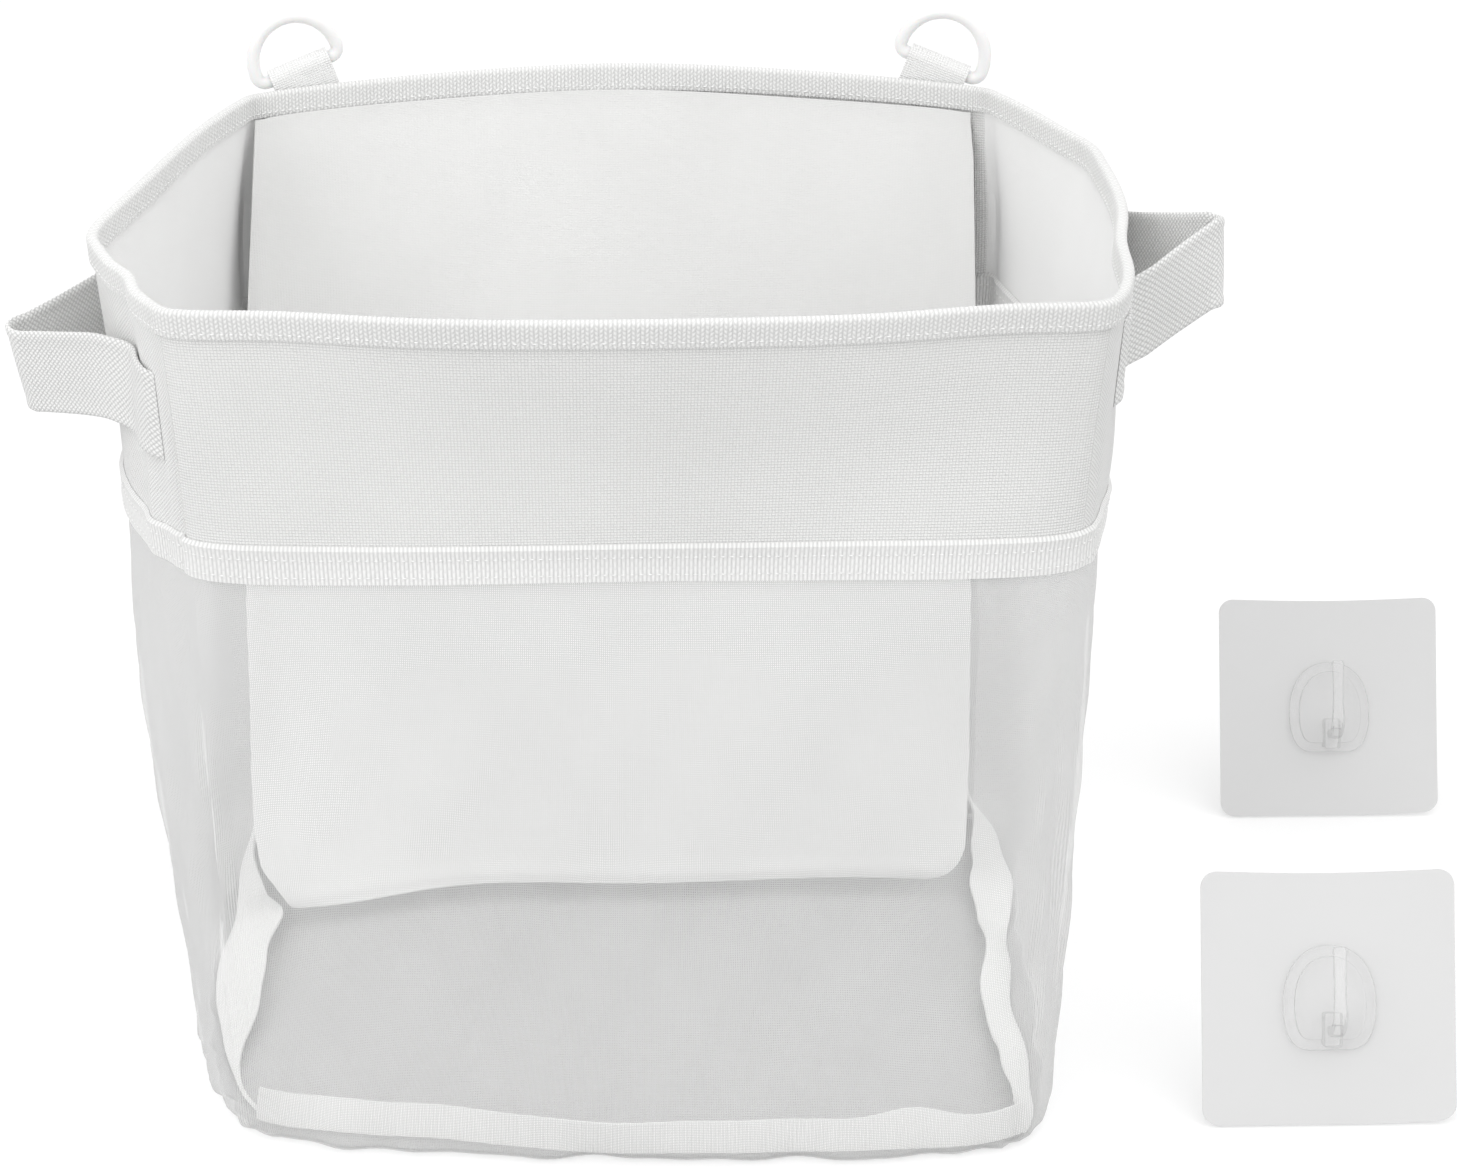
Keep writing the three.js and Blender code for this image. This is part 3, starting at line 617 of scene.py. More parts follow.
def profile(table, share):
    """A smooth run of values through a table of (share, value)"""
    fine = np.linspace(0, 1, 401)
    values = np.interp(fine, *zip(*table))
    spread = np.hanning(41)
    padded = np.pad(values, 20, mode="reflect", reflect_type="odd")
    return np.interp(share, fine, np.convolve(padded, spread / spread.sum(), mode="valid"))


def bezier(start, bend, end, count):
    share = np.linspace(0, 1, count)[:, None]
    return (1 - share) ** 2 * start + 2 * share * (1 - share) * bend + share ** 2 * end


def resample(path, count):
    """The same path with evenly spaced points, and how far along it each lies"""
    run = run_along(path)
    even = np.linspace(0, run[-1], count)
    return np.stack([np.interp(even, run, path[:, k]) for k in range(3)], -1), even


# Operators

class ORGANIZER_OT_bands(bpy.types.Operator):
    """Four woven lengths that make the band round the top"""

    bl_idname = "organizer.bands"
    bl_label = "Woven bands"

    weave = (0.00105, 0.00105)
    lining_weave = (0.0006, 0.0006)
    inside_y = 0.02
    edge_area = 1e-6

    def execute(self, context):
        sizes, finishes = context.scene.organizer_bin, context.scene.organizer_finishes
        plain = woven_finish("band cloth", finishes.band, self.weave)
        rising = woven_finish("band cloth slanted", finishes.band, self.weave, math.radians(45))
        lining = woven_finish("band lining", finishes.lining, self.lining_weave, gap_shade=0.95, depth=0.0001)
        heights = np.linspace(SEAM.height, RIM.height, 31)
        for name in WALL_STARTS:
            length, turns, run = wall_columns(name, CLOTH_PITCH)
            points = wall(turns[None, :], heights[:, None])
            piece = grid_piece(f"{name}_band_cloth", points, run, heights)
            thicken(piece, sizes.band_thickness)
            finish(piece, plain if name in ("front", "back") else rising, "band_cloth", f"{name}_band")
            if name != "back":
                self.line(piece, lining)
            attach(piece, "bin")
        return {"FINISHED"}

    def line(self, piece, lining):
        """Gives the faces that look into the bin the lining"""
        piece.data.materials.append(lining)
        for face in piece.data.polygons:
            inwards = Vector((0, self.inside_y, face.center.z)) - face.center
            if face.normal.dot(inwards) > 0.0 and face.area > self.edge_area:
                face.material_index = 1


class ORGANIZER_OT_mesh(bpy.types.Operator):
    """Sheer mesh walls, rounded under at the bottom, and the mesh floor"""

    bl_idname = "organizer.mesh"
    bl_label = "Sheer mesh"

    turn_under = 0.007
    floor_cells = 90
    floor_height = 0.0006
    floor_slack = 0.0010

    # Each net's share of the mesh's colour, the pitch of its threads, and how much they and its holes cover.
    # A share below 1 is painted shade
    Net = namedtuple("Net", "share pitch thread hole")
    walls = Net(1.0, 0.00065, 0.45, 0.10)
    # The back net's darker colour is painted shade, where the hanging panel shades the back wall
    behind = Net(0.63, 0.00065, 0.60, 0.12)
    # The floor net's darker colour is painted shade inside the bin
    floor = Net(0.76, 0.0010, 0.52, 0.04)

    def tuck(self, height):
        """How far the wall's lower edge turns in under itself"""
        short = np.clip(1 - height / self.turn_under, 0, 1)
        return -self.turn_under * (1 - np.sqrt(1 - short ** 2)) * 0.7

    def execute(self, context):
        colour = context.scene.organizer_finishes.mesh
        # The back and floor nets' darker colours are painted shade
        sheer, shaded, shaded_floor_sheer = (
            sheer_finish(name, [net.share * c for c in colour], net.pitch, net.thread, net.hole)
            for name, net in (("sheer mesh", self.walls), ("sheer mesh behind", self.behind),
                              ("sheer mesh floor", self.floor)))
        low = np.array((0.0, 0.0004, 0.001, 0.002, 0.0035, 0.0055))
        heights = np.concatenate((low, np.linspace(0.008, SEAM.height, 54)))
        for name in WALL_STARTS:
            length, turns, run = wall_columns(name, CLOTH_PITCH)
            points = wall(turns[None, :], heights[:, None], self.tuck(heights)[:, None])
            piece = grid_piece(f"{name}_mesh_cloth", points, run, heights)
            finish(piece, shaded if name == "back" else sheer, "net", f"{name}_mesh")
            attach(piece, "bin")
        self.make_floor(shaded_floor_sheer)
        return {"FINISHED"}

    def make_floor(self, sheer):
        """The floor spans the walls' lower edges, a little slack between them"""
        share = np.linspace(0, 1, self.floor_cells + 1)
        edge = {}
        for name in WALL_STARTS:
            turns, _ = even_columns(wall_turn(name, 0), wall_turn(name, 1), self.floor_cells, 0.0)
            edge[name] = wall(turns, 0.0, self.tuck(np.zeros(1)))
        front, back = edge["front"], edge["back"][::-1]
        left, right = edge["left"][::-1], edge["right"]
        s, t = share[None, :, None], share[:, None, None]
        sides = (1 - t) * front[None] + t * back[None] + (1 - s) * left[:, None] + s * right[:, None]
        corners = ((1 - s) * (1 - t) * front[0] + s * (1 - t) * front[-1]
                   + (1 - s) * t * back[0] + s * t * back[-1])
        points = sides - corners
        x, y = points[..., 0], points[..., 1]
        slack = 16 * (s * (1 - s) * t * (1 - t))[..., 0]
        ripple = np.sin(40 * x + 12 * y) * np.sin(33 * y - 9 * x) + 0.6 * np.sin(95 * y + 14 * x + 1.0)
        points[..., 2] = self.floor_height + self.floor_slack * slack * (1 + 0.6 * ripple)
        width, depth = x.max() - x.min(), y.max() - y.min()
        piece = grid_piece("floor_mesh_cloth", points, share * width, share * depth)
        finish(piece, sheer, "net", "floor_mesh")
        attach(piece, "bin")


class ORGANIZER_OT_tapes(bpy.types.Operator):
    """Ribbed tape folded over the rim and laid over the band's lower seam on both sides"""

    bl_idname = "organizer.tapes"
    bl_label = "Ribbed tapes"

    crown = 0.0009
    rim_overlap = 0.0013
    rim_stitches = 0.0016
    seam_stitches = {"upper": 0.0022, "lower": -0.0040}
    stitch_share = 0.74
    stitch_girth = 0.0006

    def execute(self, context):
        sizes, finishes = context.scene.organizer_bin, context.scene.organizer_finishes
        length = run_length(0, 1)
        ribs = 2 * round(length / sizes.rib_pitch / 2)
        self.dotted = woven_finish("rim tape", finishes.tape, (length / ribs, 0.0016), gap_shade=0.77,
                                   pattern=Sketch.chevrons)
        self.ribbed = woven_finish("seam tape", finishes.tape, (length / ribs, 0.0030), gap_shade=0.84,
                                   pattern=Sketch.ribs)
        self.thread = moulded_finish("sewing thread", finishes.tape, CLOTH_SOCKETS)
        self.turns, self.run = even_columns(0, 1, ribs * RIB_FACES)
        round_rib = 2 * math.pi * np.arange(ribs * RIB_FACES) / RIB_FACES
        self.rib = sizes.rib_depth * 0.5 * (1 - np.cos(round_rib))
        self.make_rim(sizes)
        self.make_seam("band_tape_outer", 1, sizes)
        self.make_seam("band_tape_inner", -1, sizes)
        return {"FINISHED"}

    def make_rim(self, sizes):
        """Up the outside, over the rim and down the inside"""
        middle = BAND_FACE + sizes.tape_thickness / 2
        low = RIM.height - sizes.rim_tape_width + self.rim_overlap
        legs = np.linspace(low, RIM.height, 6)
        arc = np.linspace(0, math.pi, 7)[1:-1]
        heights = np.concatenate((legs, np.full(5, RIM.height), legs[::-1]))
        lifts = np.concatenate((np.zeros(6), self.crown * np.sin(arc), np.zeros(6)))
        offsets = np.concatenate((np.full(6, middle), middle * np.cos(arc), np.full(6, -middle)))
        swell = np.sign(offsets) * np.minimum(1, np.abs(offsets) / middle)
        out = offsets[:, None] + swell[:, None] * self.rib[None, :]
        points = wall(self.turns[:-1][None, :], heights[:, None], out)
        points[..., 2] += lifts[:, None] + np.where(lifts > 0, 0.4, 0)[:, None] * self.rib[None, :]
        points[(0, -1), :, 2] -= 1.6 * self.rib
        across = run_along(np.stack((heights + lifts, offsets), -1))
        piece = grid_piece("rim_binding_tape", points, self.run, across, closed=True)
        thicken(piece, sizes.tape_thickness)
        finish(piece, self.dotted, "tape", "rim_binding")
        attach(piece, "bin")
        stitches = [self.stitch_line(f"rim_stitches_{k}", low + self.rim_stitches, middle, side, sizes)
                    for k, side in (("outer", 1), ("inner", -1))]

    def make_seam(self, node, side, sizes):
        """A flat tape with a smooth rolled upper edge"""
        middle = BAND_FACE + sizes.tape_thickness / 2
        share = np.array((0, 0.10, 0.32, 0.55, 0.74, 0.83, 0.92, 1.0))
        ribbed = np.array((0.6, 1, 1, 1, 0.9, 0.2, 0, 0))
        roll = np.array((0, 0, 0, 0, 0, 0.0002, 0.0003, -0.0009))
        heights = SEAM.height + sizes.seam_tape_width * (share - 0.5)
        offsets = side * (middle + roll[:, None] + ribbed[:, None] * self.rib[None, :])
        if side < 0:
            heights, offsets = heights[::-1], offsets[::-1]
        points = wall(self.turns[:-1][None, :], heights[:, None], offsets)
        piece = grid_piece(f"{node}_ribbed", points, self.run, heights, closed=True)
        thicken(piece, sizes.tape_thickness)
        finish(piece, self.ribbed, "tape", node)
        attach(piece, "bin")
        rows = [self.stitch_line(f"{node}_stitches_{k}", SEAM.height + shift, middle, side, sizes)
                for k, shift in self.seam_stitches.items()]

    def stitch_line(self, name, height, middle, side, sizes):
        """A row of stitches sunk between the ribs"""
        count = round(self.run[-1] / sizes.stitch_pitch)
        turns = even_columns(0, 1, count)[0][:-1]
        out = side * level_out(turns, np.full_like(turns, height))
        face = middle + sizes.tape_thickness / 2 + sizes.rib_depth * 0.7
        points = wall(turns, height, side * face)
        piece = stitch_row(name, points, out, sizes.stitch_pitch * self.stitch_share, self.stitch_girth)
        piece.data.materials.append(self.thread)
        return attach(piece, "bin")


class ORGANIZER_OT_floor_tapes(bpy.types.Operator):
    """Ribbed tapes over the floor's seams: they stand at the front and back and flop in at the sides"""

    bl_idname = "organizer.floor_tapes"
    bl_label = "Floor tapes"

    pitch = 0.0015
    foot = 0.0020

    # Along each tape: how far inside the wall it is sewn, and how far its free edge flops in
    inset = {
        "front": ((0, 0.007), (0.10, 0.0095), (0.24, 0.0110), (0.42, 0.0048), (0.58, 0.0050), (0.8, 0.0065),
                  (1, 0.004)),
        "right": ((0, 0.003), (0.07, 0.005), (0.155, 0.009), (0.265, 0.0095), (0.355, 0.0135),
                  (0.465, 0.011), (0.55, 0.0108), (0.635, 0.006), (0.72, 0.002), (0.82, 0.0045),
                  (0.93, 0.002), (1, 0.002)),
        "back": ((0, 0.003), (1, 0.003)),
        "left": ((0, 0.002), (0.05, 0.004), (0.165, 0.006), (0.26, 0.0078), (0.36, 0.0095), (0.465, 0.0068),
                 (0.56, 0.0052), (0.645, 0.0061), (0.695, 0.0072), (0.745, 0.0082), (0.835, 0.0094),
                 (1, 0.0094)),
    }
    flop = {
        "front": ((0, 0.002), (0.11, 0.004), (0.24, 0.003), (0.42, 0.0), (0.58, 0.001), (0.75, 0.0015),
                  (0.84, 0.0045), (0.92, 0.001), (1, 0.001)),
        "right": ((0, 0.005), (0.05, 0.007), (0.15, 0.010), (0.26, 0.0125), (0.33, 0.011), (0.45, 0.0105),
                  (0.53, 0.009), (0.62, 0.013), (0.71, 0.018), (0.8, 0.014), (0.92, 0.009), (1, 0.004)),
        "back": ((0, 0.002), (1, 0.002)),
        "left": ((0, 0.002), (0.05, 0.001), (0.165, 0.0055), (0.27, 0.007), (0.345, 0.015), (0.375, 0.0200),
                 (0.56, 0.0190), (0.645, 0.0163), (0.745, 0.0093), (0.79, 0.0054), (0.835, 0.0016),
                 (1, 0.0003)),
    }

    # Along a tape: how much of its width shows
    shown = {
        "front": ((0, 1), (0.78, 1), (0.84, 1.3), (0.89, 0.95), (0.93, 0.9), (1, 1)),
        "left": ((0, 1), (0.695, 1), (0.745, 0.76), (0.79, 0.44), (0.835, 0.17), (0.87, 0.10), (1, 0.10)),
    }

    def execute(self, context):
        sizes, finishes = context.scene.organizer_bin, context.scene.organizer_finishes
        ribbed = woven_finish("floor tape", finishes.floor_tape, (sizes.rib_pitch, 0.0042), gap_shade=0.88,
                              pattern=Sketch.ribs)
        up = np.linspace(0, 1, 9)[:, None]
        for name in WALL_STARTS:
            length, turns, run = wall_columns(name, self.pitch, 0.0)
            share = run / run[-1]
            wave = np.sin(2 * math.pi * 3.3 * share + 0.6) + 0.6 * np.sin(2 * math.pi * 7.1 * share + 2.0)
            inset = profile(self.inset[name], share) + 0.0003 * wave
            flop = profile(self.flop[name], share) + 0.0004 * wave * np.sin(math.pi * share)
            shown = profile(self.shown.get(name, ((0, 1), (1, 1))), share)
            width = np.maximum(sizes.floor_tape_width * shown, 1.06 * np.abs(flop))
            rise = np.sqrt(width ** 2 - flop ** 2)
            plain = np.zeros_like(turns)
            points = skin(turns, plain) - level_out(turns, plain) * (inset + up ** 1.3 * flop)[..., None]
            points[..., 2] = self.foot + up ** 0.9 * rise
            piece = grid_piece(f"{name}_floor_tape_cloth", points, run, up[:, 0] * sizes.floor_tape_width)
            thicken(piece, sizes.tape_thickness)
            finish(piece, ribbed, "tape", f"{name}_floor_tape")
            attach(piece, "bin")
        return {"FINISHED"}


class ORGANIZER_OT_back_panel(bpy.types.Operator):
    """The stiffened panel that hangs inside the back: a board between two cloth covers"""

    bl_idname = "organizer.back_panel"
    bl_label = "Back panel"

    weave = (0.0006, 0.0006)
    cover = 0.0006
    board = 0.0012
    # The padded edge: how high it stands, how far in from the panel's edge, and its spread
    pad_height = 0.0009
    pad_inset = 0.004
    pad_spread = 0.0022
    # How far the lower left corner bends forward
    corner_bend = 0.016
    # How far the front cloth reaches up over the rim's tape
    hem = 0.0026
    # Heights up the panel and how far its edges stand out there
    left_edge = ((0.010, 0.0005), (0.012, -0.0028), (0.015, -0.0048), (0.020, -0.0048), (0.028, -0.0014),
                 (0.04, 0.0010), (0.06, 0.0024), (0.09, 0.0030), (0.12, 0.0042), (0.16, 0.0045),
                 (0.24, 0.003), (0.3047, 0.0))
    right_edge = ((0.010, -0.001), (0.02, -0.0025), (0.03, -0.0025), (0.06, -0.0010), (0.12, 0.0),
                  (0.19, 0.0), (0.23, 0.0020), (0.29, 0.0020), (0.3047, 0.0010))

    def half_width(self, height):
        half = np.interp(height, (PANEL_BOTTOM, PANEL_TOP), (PANEL_BOTTOM_WIDTH / 2, PANEL_TOP_WIDTH / 2))
        short = np.maximum(0, PANEL_CORNER - (height - PANEL_BOTTOM))
        return half - PANEL_CORNER + np.sqrt(PANEL_CORNER ** 2 - short ** 2)

    def face(self, heights, across):
        """Points of the panel's middle, which hangs before the back wall, from its right side to its left"""
        half = self.half_width(heights)
        stand_off = np.interp(heights, (PANEL_BOTTOM, PANEL_TOP), (PANEL_STAND_OFF, PANEL_TOP_STAND_OFF))
        points = np.empty((len(heights), len(across), 3))
        left, right = (np.interp(heights, *zip(*table)) for table in (self.left_edge, self.right_edge))
        for row, height in enumerate(heights):
            swell = right[row] * np.clip(across, 0, 1) ** 2 - left[row] * np.clip(-across, 0, 1) ** 2
            x = PANEL_SHIFT + across * half[row] + swell
            turns = turn_where("back", height, 0, x)
            points[row] = skin(turns, np.full_like(turns, height))
            points[row, :, 0] = x
            points[row, :, 1] -= stand_off[row]
        return points

    def execute(self, context):
        finishes = context.scene.organizer_finishes
        cloth = woven_finish("panel cloth", finishes.panel, self.weave, gap_shade=0.95, depth=0.0001)
        board = moulded_finish("panel board", finishes.panel, {"Roughness": 0.5})
        arc = PANEL_CORNER * (1 - np.cos(np.linspace(0, math.pi / 2, 12)[:-1]))
        across = np.linspace(1, -1, 91)
        x = across[None, :] * PANEL_BOTTOM_WIDTH / 2
        hem = PANEL_TOP + self.hem
        layers = (
            ("panel_front_cloth", "back_panel_front_cover", 1, hem, cloth, "panel_cloth", self.cover),
            ("panel_rear_cloth", "back_panel_rear_cover", -1, PANEL_TOP, cloth, "panel_cloth", self.cover),
            ("panel_board_sheet", "back_panel_board", 0, PANEL_TOP, board, "board", self.board),
        )
        for name, node, side, top, material, slot, thickness in layers:
            heights = np.concatenate((PANEL_BOTTOM + arc, np.linspace(PANEL_BOTTOM + PANEL_CORNER, top, 70)))
            edge = np.minimum((1 - np.abs(across))[None, :] * 0.14, (heights - PANEL_BOTTOM)[:, None])
            pad = self.pad_height * np.exp(-((edge - self.pad_inset) / self.pad_spread) ** 2)
            z = heights[:, None]
            wave = (0.0012 * np.sin(22 * x + 9 * z) * np.sin(17 * z + 4 * x)
                    + 0.0006 * np.sin(47 * x - 30 * z + 1.0)
                    + self.corner_bend * np.exp(-((x + 0.14) / 0.05) ** 2 - ((z - 0.005) / 0.045) ** 2))
            points = self.face(heights, across)
            points[..., 1] -= side * (PANEL_HALF_GAP + pad) + wave
            piece = grid_piece(name, points, (1 - across) * PANEL_BOTTOM_WIDTH / 2, heights)
            thicken(piece, thickness)
            finish(piece, material, slot, node)
            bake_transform(piece)
        return {"FINISHED"}


class ORGANIZER_OT_handles(bpy.types.Operator):
    """Two folded cloth straps, sewn to the sides at both ends and creased at the middle"""

    bl_idname = "organizer.handles"
    bl_label = "Strap handles"

    # Across the strap's face from edge to edge, and how thick it is there
    across = (-1.0, -0.96, -0.88, -0.80, -0.74, -0.45, 0.0, 0.45, 0.74, 0.80, 0.88, 0.96, 1.0)
    puff = (0.35, 0.95, 1.12, 0.98, 0.80, 0.95, 1.0, 0.95, 0.80, 0.98, 1.12, 0.95, 0.35)
    steps = 150
    weave = (0.0014, 0.0014)
    half_seat = 0.0155

    # Where the front end is sewn and over what length, how far the fold is raised, how its weave is turned,
    # and along the strap from its front end how far it is lifted and how far its face leans back
    Shape = namedtuple("Shape", "front sewn rise slant lift lean")
    shapes = {
        "left": Shape(-0.0955, 0.015, -0.0065, math.radians(45),
                      ((0, -0.002), (0.10, -0.001), (0.22, 0.002), (0.5, 0), (1, 0)),
                      ((0, 0.0), (0.15, 0.05), (0.3, 0.17), (0.45, 0.20), (0.6, 0.06), (1, 0))),
        "right": Shape(-0.084, 0.020, 0.027, math.radians(-45),
                       ((0, 0.009), (0.15, 0.010), (0.3, 0.006), (0.5, 0), (0.7, 0.006), (0.85, 0.010),
                        (1, 0.011)),
                       ((0, 0.0), (0.2, 0.0), (0.35, 0.04), (0.5, 0.09), (0.7, 0.04), (1, 0))),
    }

    def execute(self, context):
        sizes, finishes = context.scene.organizer_bin, context.scene.organizer_finishes
        for name, side in (("left", -1), ("right", 1)):
            shape = self.shapes[name]
            cloth = woven_finish(f"{name} strap cloth", finishes.strap, self.weave, shape.slant, gap_shade=0.66)
            path, run = resample(self.path(name, side, shape), self.steps)
            piece = self.sweep(name, side, path, run, shape, sizes)
            parts = (f"{name}_handle_{part}" for part in ("front_end", "loop", "back_end"))
            finish(piece, cloth, "webbing", *parts)
            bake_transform(piece)
        return {"FINISHED"}

    def path(self, name, side, shape):
        """The strap's middle line: sewn on, out to the fold, and back to where it is sewn on again"""
        def sewn(y):
            edges = [wall(turn_where(name, h, 1, y), h, STRAP_SEAT)
                     for h in (STRAP_HEIGHT - self.half_seat, STRAP_HEIGHT + self.half_seat)]
            widest = max(edges, key=lambda point: side * point[0])
            return np.array((widest[0], widest[1], STRAP_HEIGHT))

        bulge_y = LEFT_BULGE_Y if side < 0 else RIGHT_BULGE_Y
        widest = abs(skin(turn_where(name, RIM.height, 1, bulge_y), np.array(RIM.height))[0])

        def fold(y, reach):
            return np.array((side * (widest + reach), y, STRAP_HEIGHT + shape.rise))

        def ease(start, end):
            return end + (end - start) / np.linalg.norm(end - start) * STRAP_EASE

        tip, root = sewn(shape.front), sewn(shape.front + shape.sewn)
        back_root, back_tip = sewn(STRAP_BACK_Y - STRAP_SEWN), sewn(STRAP_BACK_Y)
        fold_front = fold(STRAP_FOLD_Y - STRAP_FOLD, STRAP_REACH - STRAP_FOLD / 2)
        fold_back = fold(STRAP_FOLD_Y + STRAP_FOLD, STRAP_REACH - STRAP_FOLD / 2)
        apex = fold(STRAP_FOLD_Y, STRAP_REACH + STRAP_FOLD / 2)
        return np.concatenate((
            np.linspace(tip, root, 20),
            bezier(root, ease(tip, root), fold_front, 60)[1:],
            bezier(fold_front, apex, fold_back, 30)[1:],
            bezier(fold_back, ease(back_tip, back_root), back_root, 60)[1:],
            np.linspace(back_root, back_tip, 20)[1:],
        ))

    def sweep(self, name, side, path, run, shape, sizes):
        """The strap's section carried along its path, laid on the wall near both ends"""
        share = run / run[-1]
        path = path.copy()
        path[:, 2] += profile(shape.lift, share)
        ahead = np.gradient(path, axis=0)
        ahead[:, 2] = 0
        ahead /= np.linalg.norm(ahead, axis=1, keepdims=True)
        out = np.stack((ahead[:, 1], -ahead[:, 0], np.zeros(len(path))), -1)
        lean = profile(shape.lean, share)[:, None]
        up = np.array((0.0, 0.0, 1.0)) * np.cos(lean) - out * np.sin(lean)
        face = out * np.cos(lean) + np.array((0.0, 0.0, 1.0)) * np.sin(lean)
        half, thick = sizes.strap_width / 2, sizes.strap_thickness / 2
        ring = [(k * half, p * thick) for k, p in zip(self.across, self.puff)]
        ring += [(k, -p) for k, p in reversed(ring)]
        free = np.stack([path + up * k + face * p for k, p in ring], 1)
        deep, thin = np.array(ring).T
        near = np.minimum(run, run[-1] - run)
        flat = np.interp(near, (0, STRAP_TIP), (0.3, 1.0))[:, None]
        turns = turn_where(name, STRAP_HEIGHT, 1, path[:, 1])
        seat = np.interp(near, (0, STRAP_TIP), (0.0003, BAND_FACE + 0.0002))[:, None]
        laid = wall(turns[:, None], path[:, 2][:, None] + deep, seat + flat * (thick + side * thin))
        sewn = np.where(run < run[-1] / 2, shape.sewn, STRAP_SEWN)
        hold = np.clip((near - sewn) / STRAP_LEAVE, 0, 1)
        hold = (hold * hold * (3 - 2 * hold))[:, None, None]
        points = laid * (1 - hold) + free * hold
        piece = grid_piece(f"{name}_handle_strap", points, run_along(ring + ring[:1]), run, closed=True)
        face_out(piece, fill=True)
        return piece


class ORGANIZER_OT_rings(bpy.types.Operator):
    """Moulded rings in loops of webbing behind the back corners of the rim"""

    bl_idname = "organizer.rings"
    bl_label = "Rings and tabs"

    weave = (0.0011, 0.0009)
    webbing_thickness = 0.0011
    tab_gap = 0.0024
    corner = 0.0035
    # How far a curve's handles reach for a quarter of a round
    quarter = 0.5523

    def execute(self, context):
        sizes, finishes = context.scene.organizer_bin, context.scene.organizer_finishes
        fittings = context.scene.organizer_fittings
        webbing = woven_finish("ring webbing", finishes.lining, self.weave, gap_shade=0.95)
        plastic = moulded_finish(
            "ring plastic", finishes.ring,
            {"Roughness": 0.28, "Coat Weight": 0.15, "Subsurface Weight": 0.1, "Subsurface Scale": 0.002})
        for name in ("left", "right"):
            place = self.seat(JOINTS[f"{name}_ring_swing"])
            ring = self.make_ring(f"{name}_ring_moulding", fittings, place)
            finish(ring, plastic, "ring_plastic", f"{name}_d_ring")
            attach(ring, f"{name}_ring")
            tab, length = self.make_tab(f"{name}_ring_webbing", sizes, place)
            finish(tab, webbing, "webbing", f"{name}_ring_tab")
            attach(tab, "bin")
        return {"FINISHED"}

    def seat(self, joint):
        """The bar's place: x along the bar, y out of the wall, z up through the ring"""
        along = Vector(joint["axis"]).normalized()
        return axes_at(joint["pos_m"], along, Vector((0, 0, 1)).cross(along).normalized())

    def make_ring(self, name, fittings, place):
        """A D of round wire: a straight bar, tight lower corners and a round arch"""
        wire = fittings.ring_wire
        half, top = (fittings.ring_width + wire) / 2, fittings.ring_height + wire
        corner, quarter = self.corner, self.quarter
        bar, arch = half - corner, top - corner
        knots = (
            ((-bar, 0), (-bar - corner * quarter, 0), (-bar / 3, 0)),
            ((bar, 0), (bar / 3, 0), (bar + corner * quarter, 0)),
            ((half, corner), (half, corner * (1 - quarter)), (half, corner + arch * quarter)),
            ((0, top), (half * quarter, top), (-half * quarter, top)),
            ((-half, corner), (-half, corner + arch * quarter), (-half, corner * (1 - quarter))),
        )
        piece = added_piece(name, bpy.ops.curve.primitive_bezier_circle_add, radius=half)
        spline = piece.data.splines[0]
        spline.bezier_points.add(len(knots) - len(spline.bezier_points))
        for point, (knot, before, after) in zip(spline.bezier_points, knots):
            point.handle_left_type = point.handle_right_type = "FREE"
            point.co = (knot[0], 0, knot[1])
            point.handle_left = (before[0], 0, before[1])
            point.handle_right = (after[0], 0, after[1])
        piece.data.dimensions = "3D"
        piece.data.resolution_u = 16
        piece.data.bevel_depth = wire / 2
        piece.data.bevel_resolution = 6
        pick(piece)
        bpy.ops.object.convert(target="MESH")
        piece = bpy.context.object
        piece.data.transform(place @ piece.matrix_world)
        piece.matrix_world = Matrix.Identity(4)
        return piece

    def make_tab(self, name, sizes, place):
        """Webbing up from the wall, round the bar and down again on itself"""
        turn = np.radians(np.linspace(180, -62, 30))
        around = np.stack((LOOP_RADIUS * np.cos(turn), LOOP_RADIUS * np.sin(turn)), -1)
        lay = np.array((-self.tab_gap, -0.0085))
        back = bezier(around[-1], around[-1] + np.array((-0.0022, -0.0013)), lay, 10)[1:]
        path = np.concatenate((
            np.linspace((-LOOP_RADIUS, -TAB_DROP), (-LOOP_RADIUS, 0), 16)[:-1],
            around,
            back,
            np.linspace(lay, (-self.tab_gap, -TAB_DROP), 14)[1:],
        ))
        run = run_along(path)
        across = np.linspace(-1, 1, 17) * sizes.webbing_width / 2
        local = np.empty((len(path), len(across), 3))
        local[..., 0] = across[None, :]
        local[..., 1] = path[:, 0][:, None]
        local[..., 2] = path[:, 1][:, None]
        spots = local @ np.array(place.to_3x3()).T + np.array(place.translation)
        piece = grid_piece(name, spots, across, run)
        thicken(piece, self.webbing_thickness)
        return piece, run[-1]


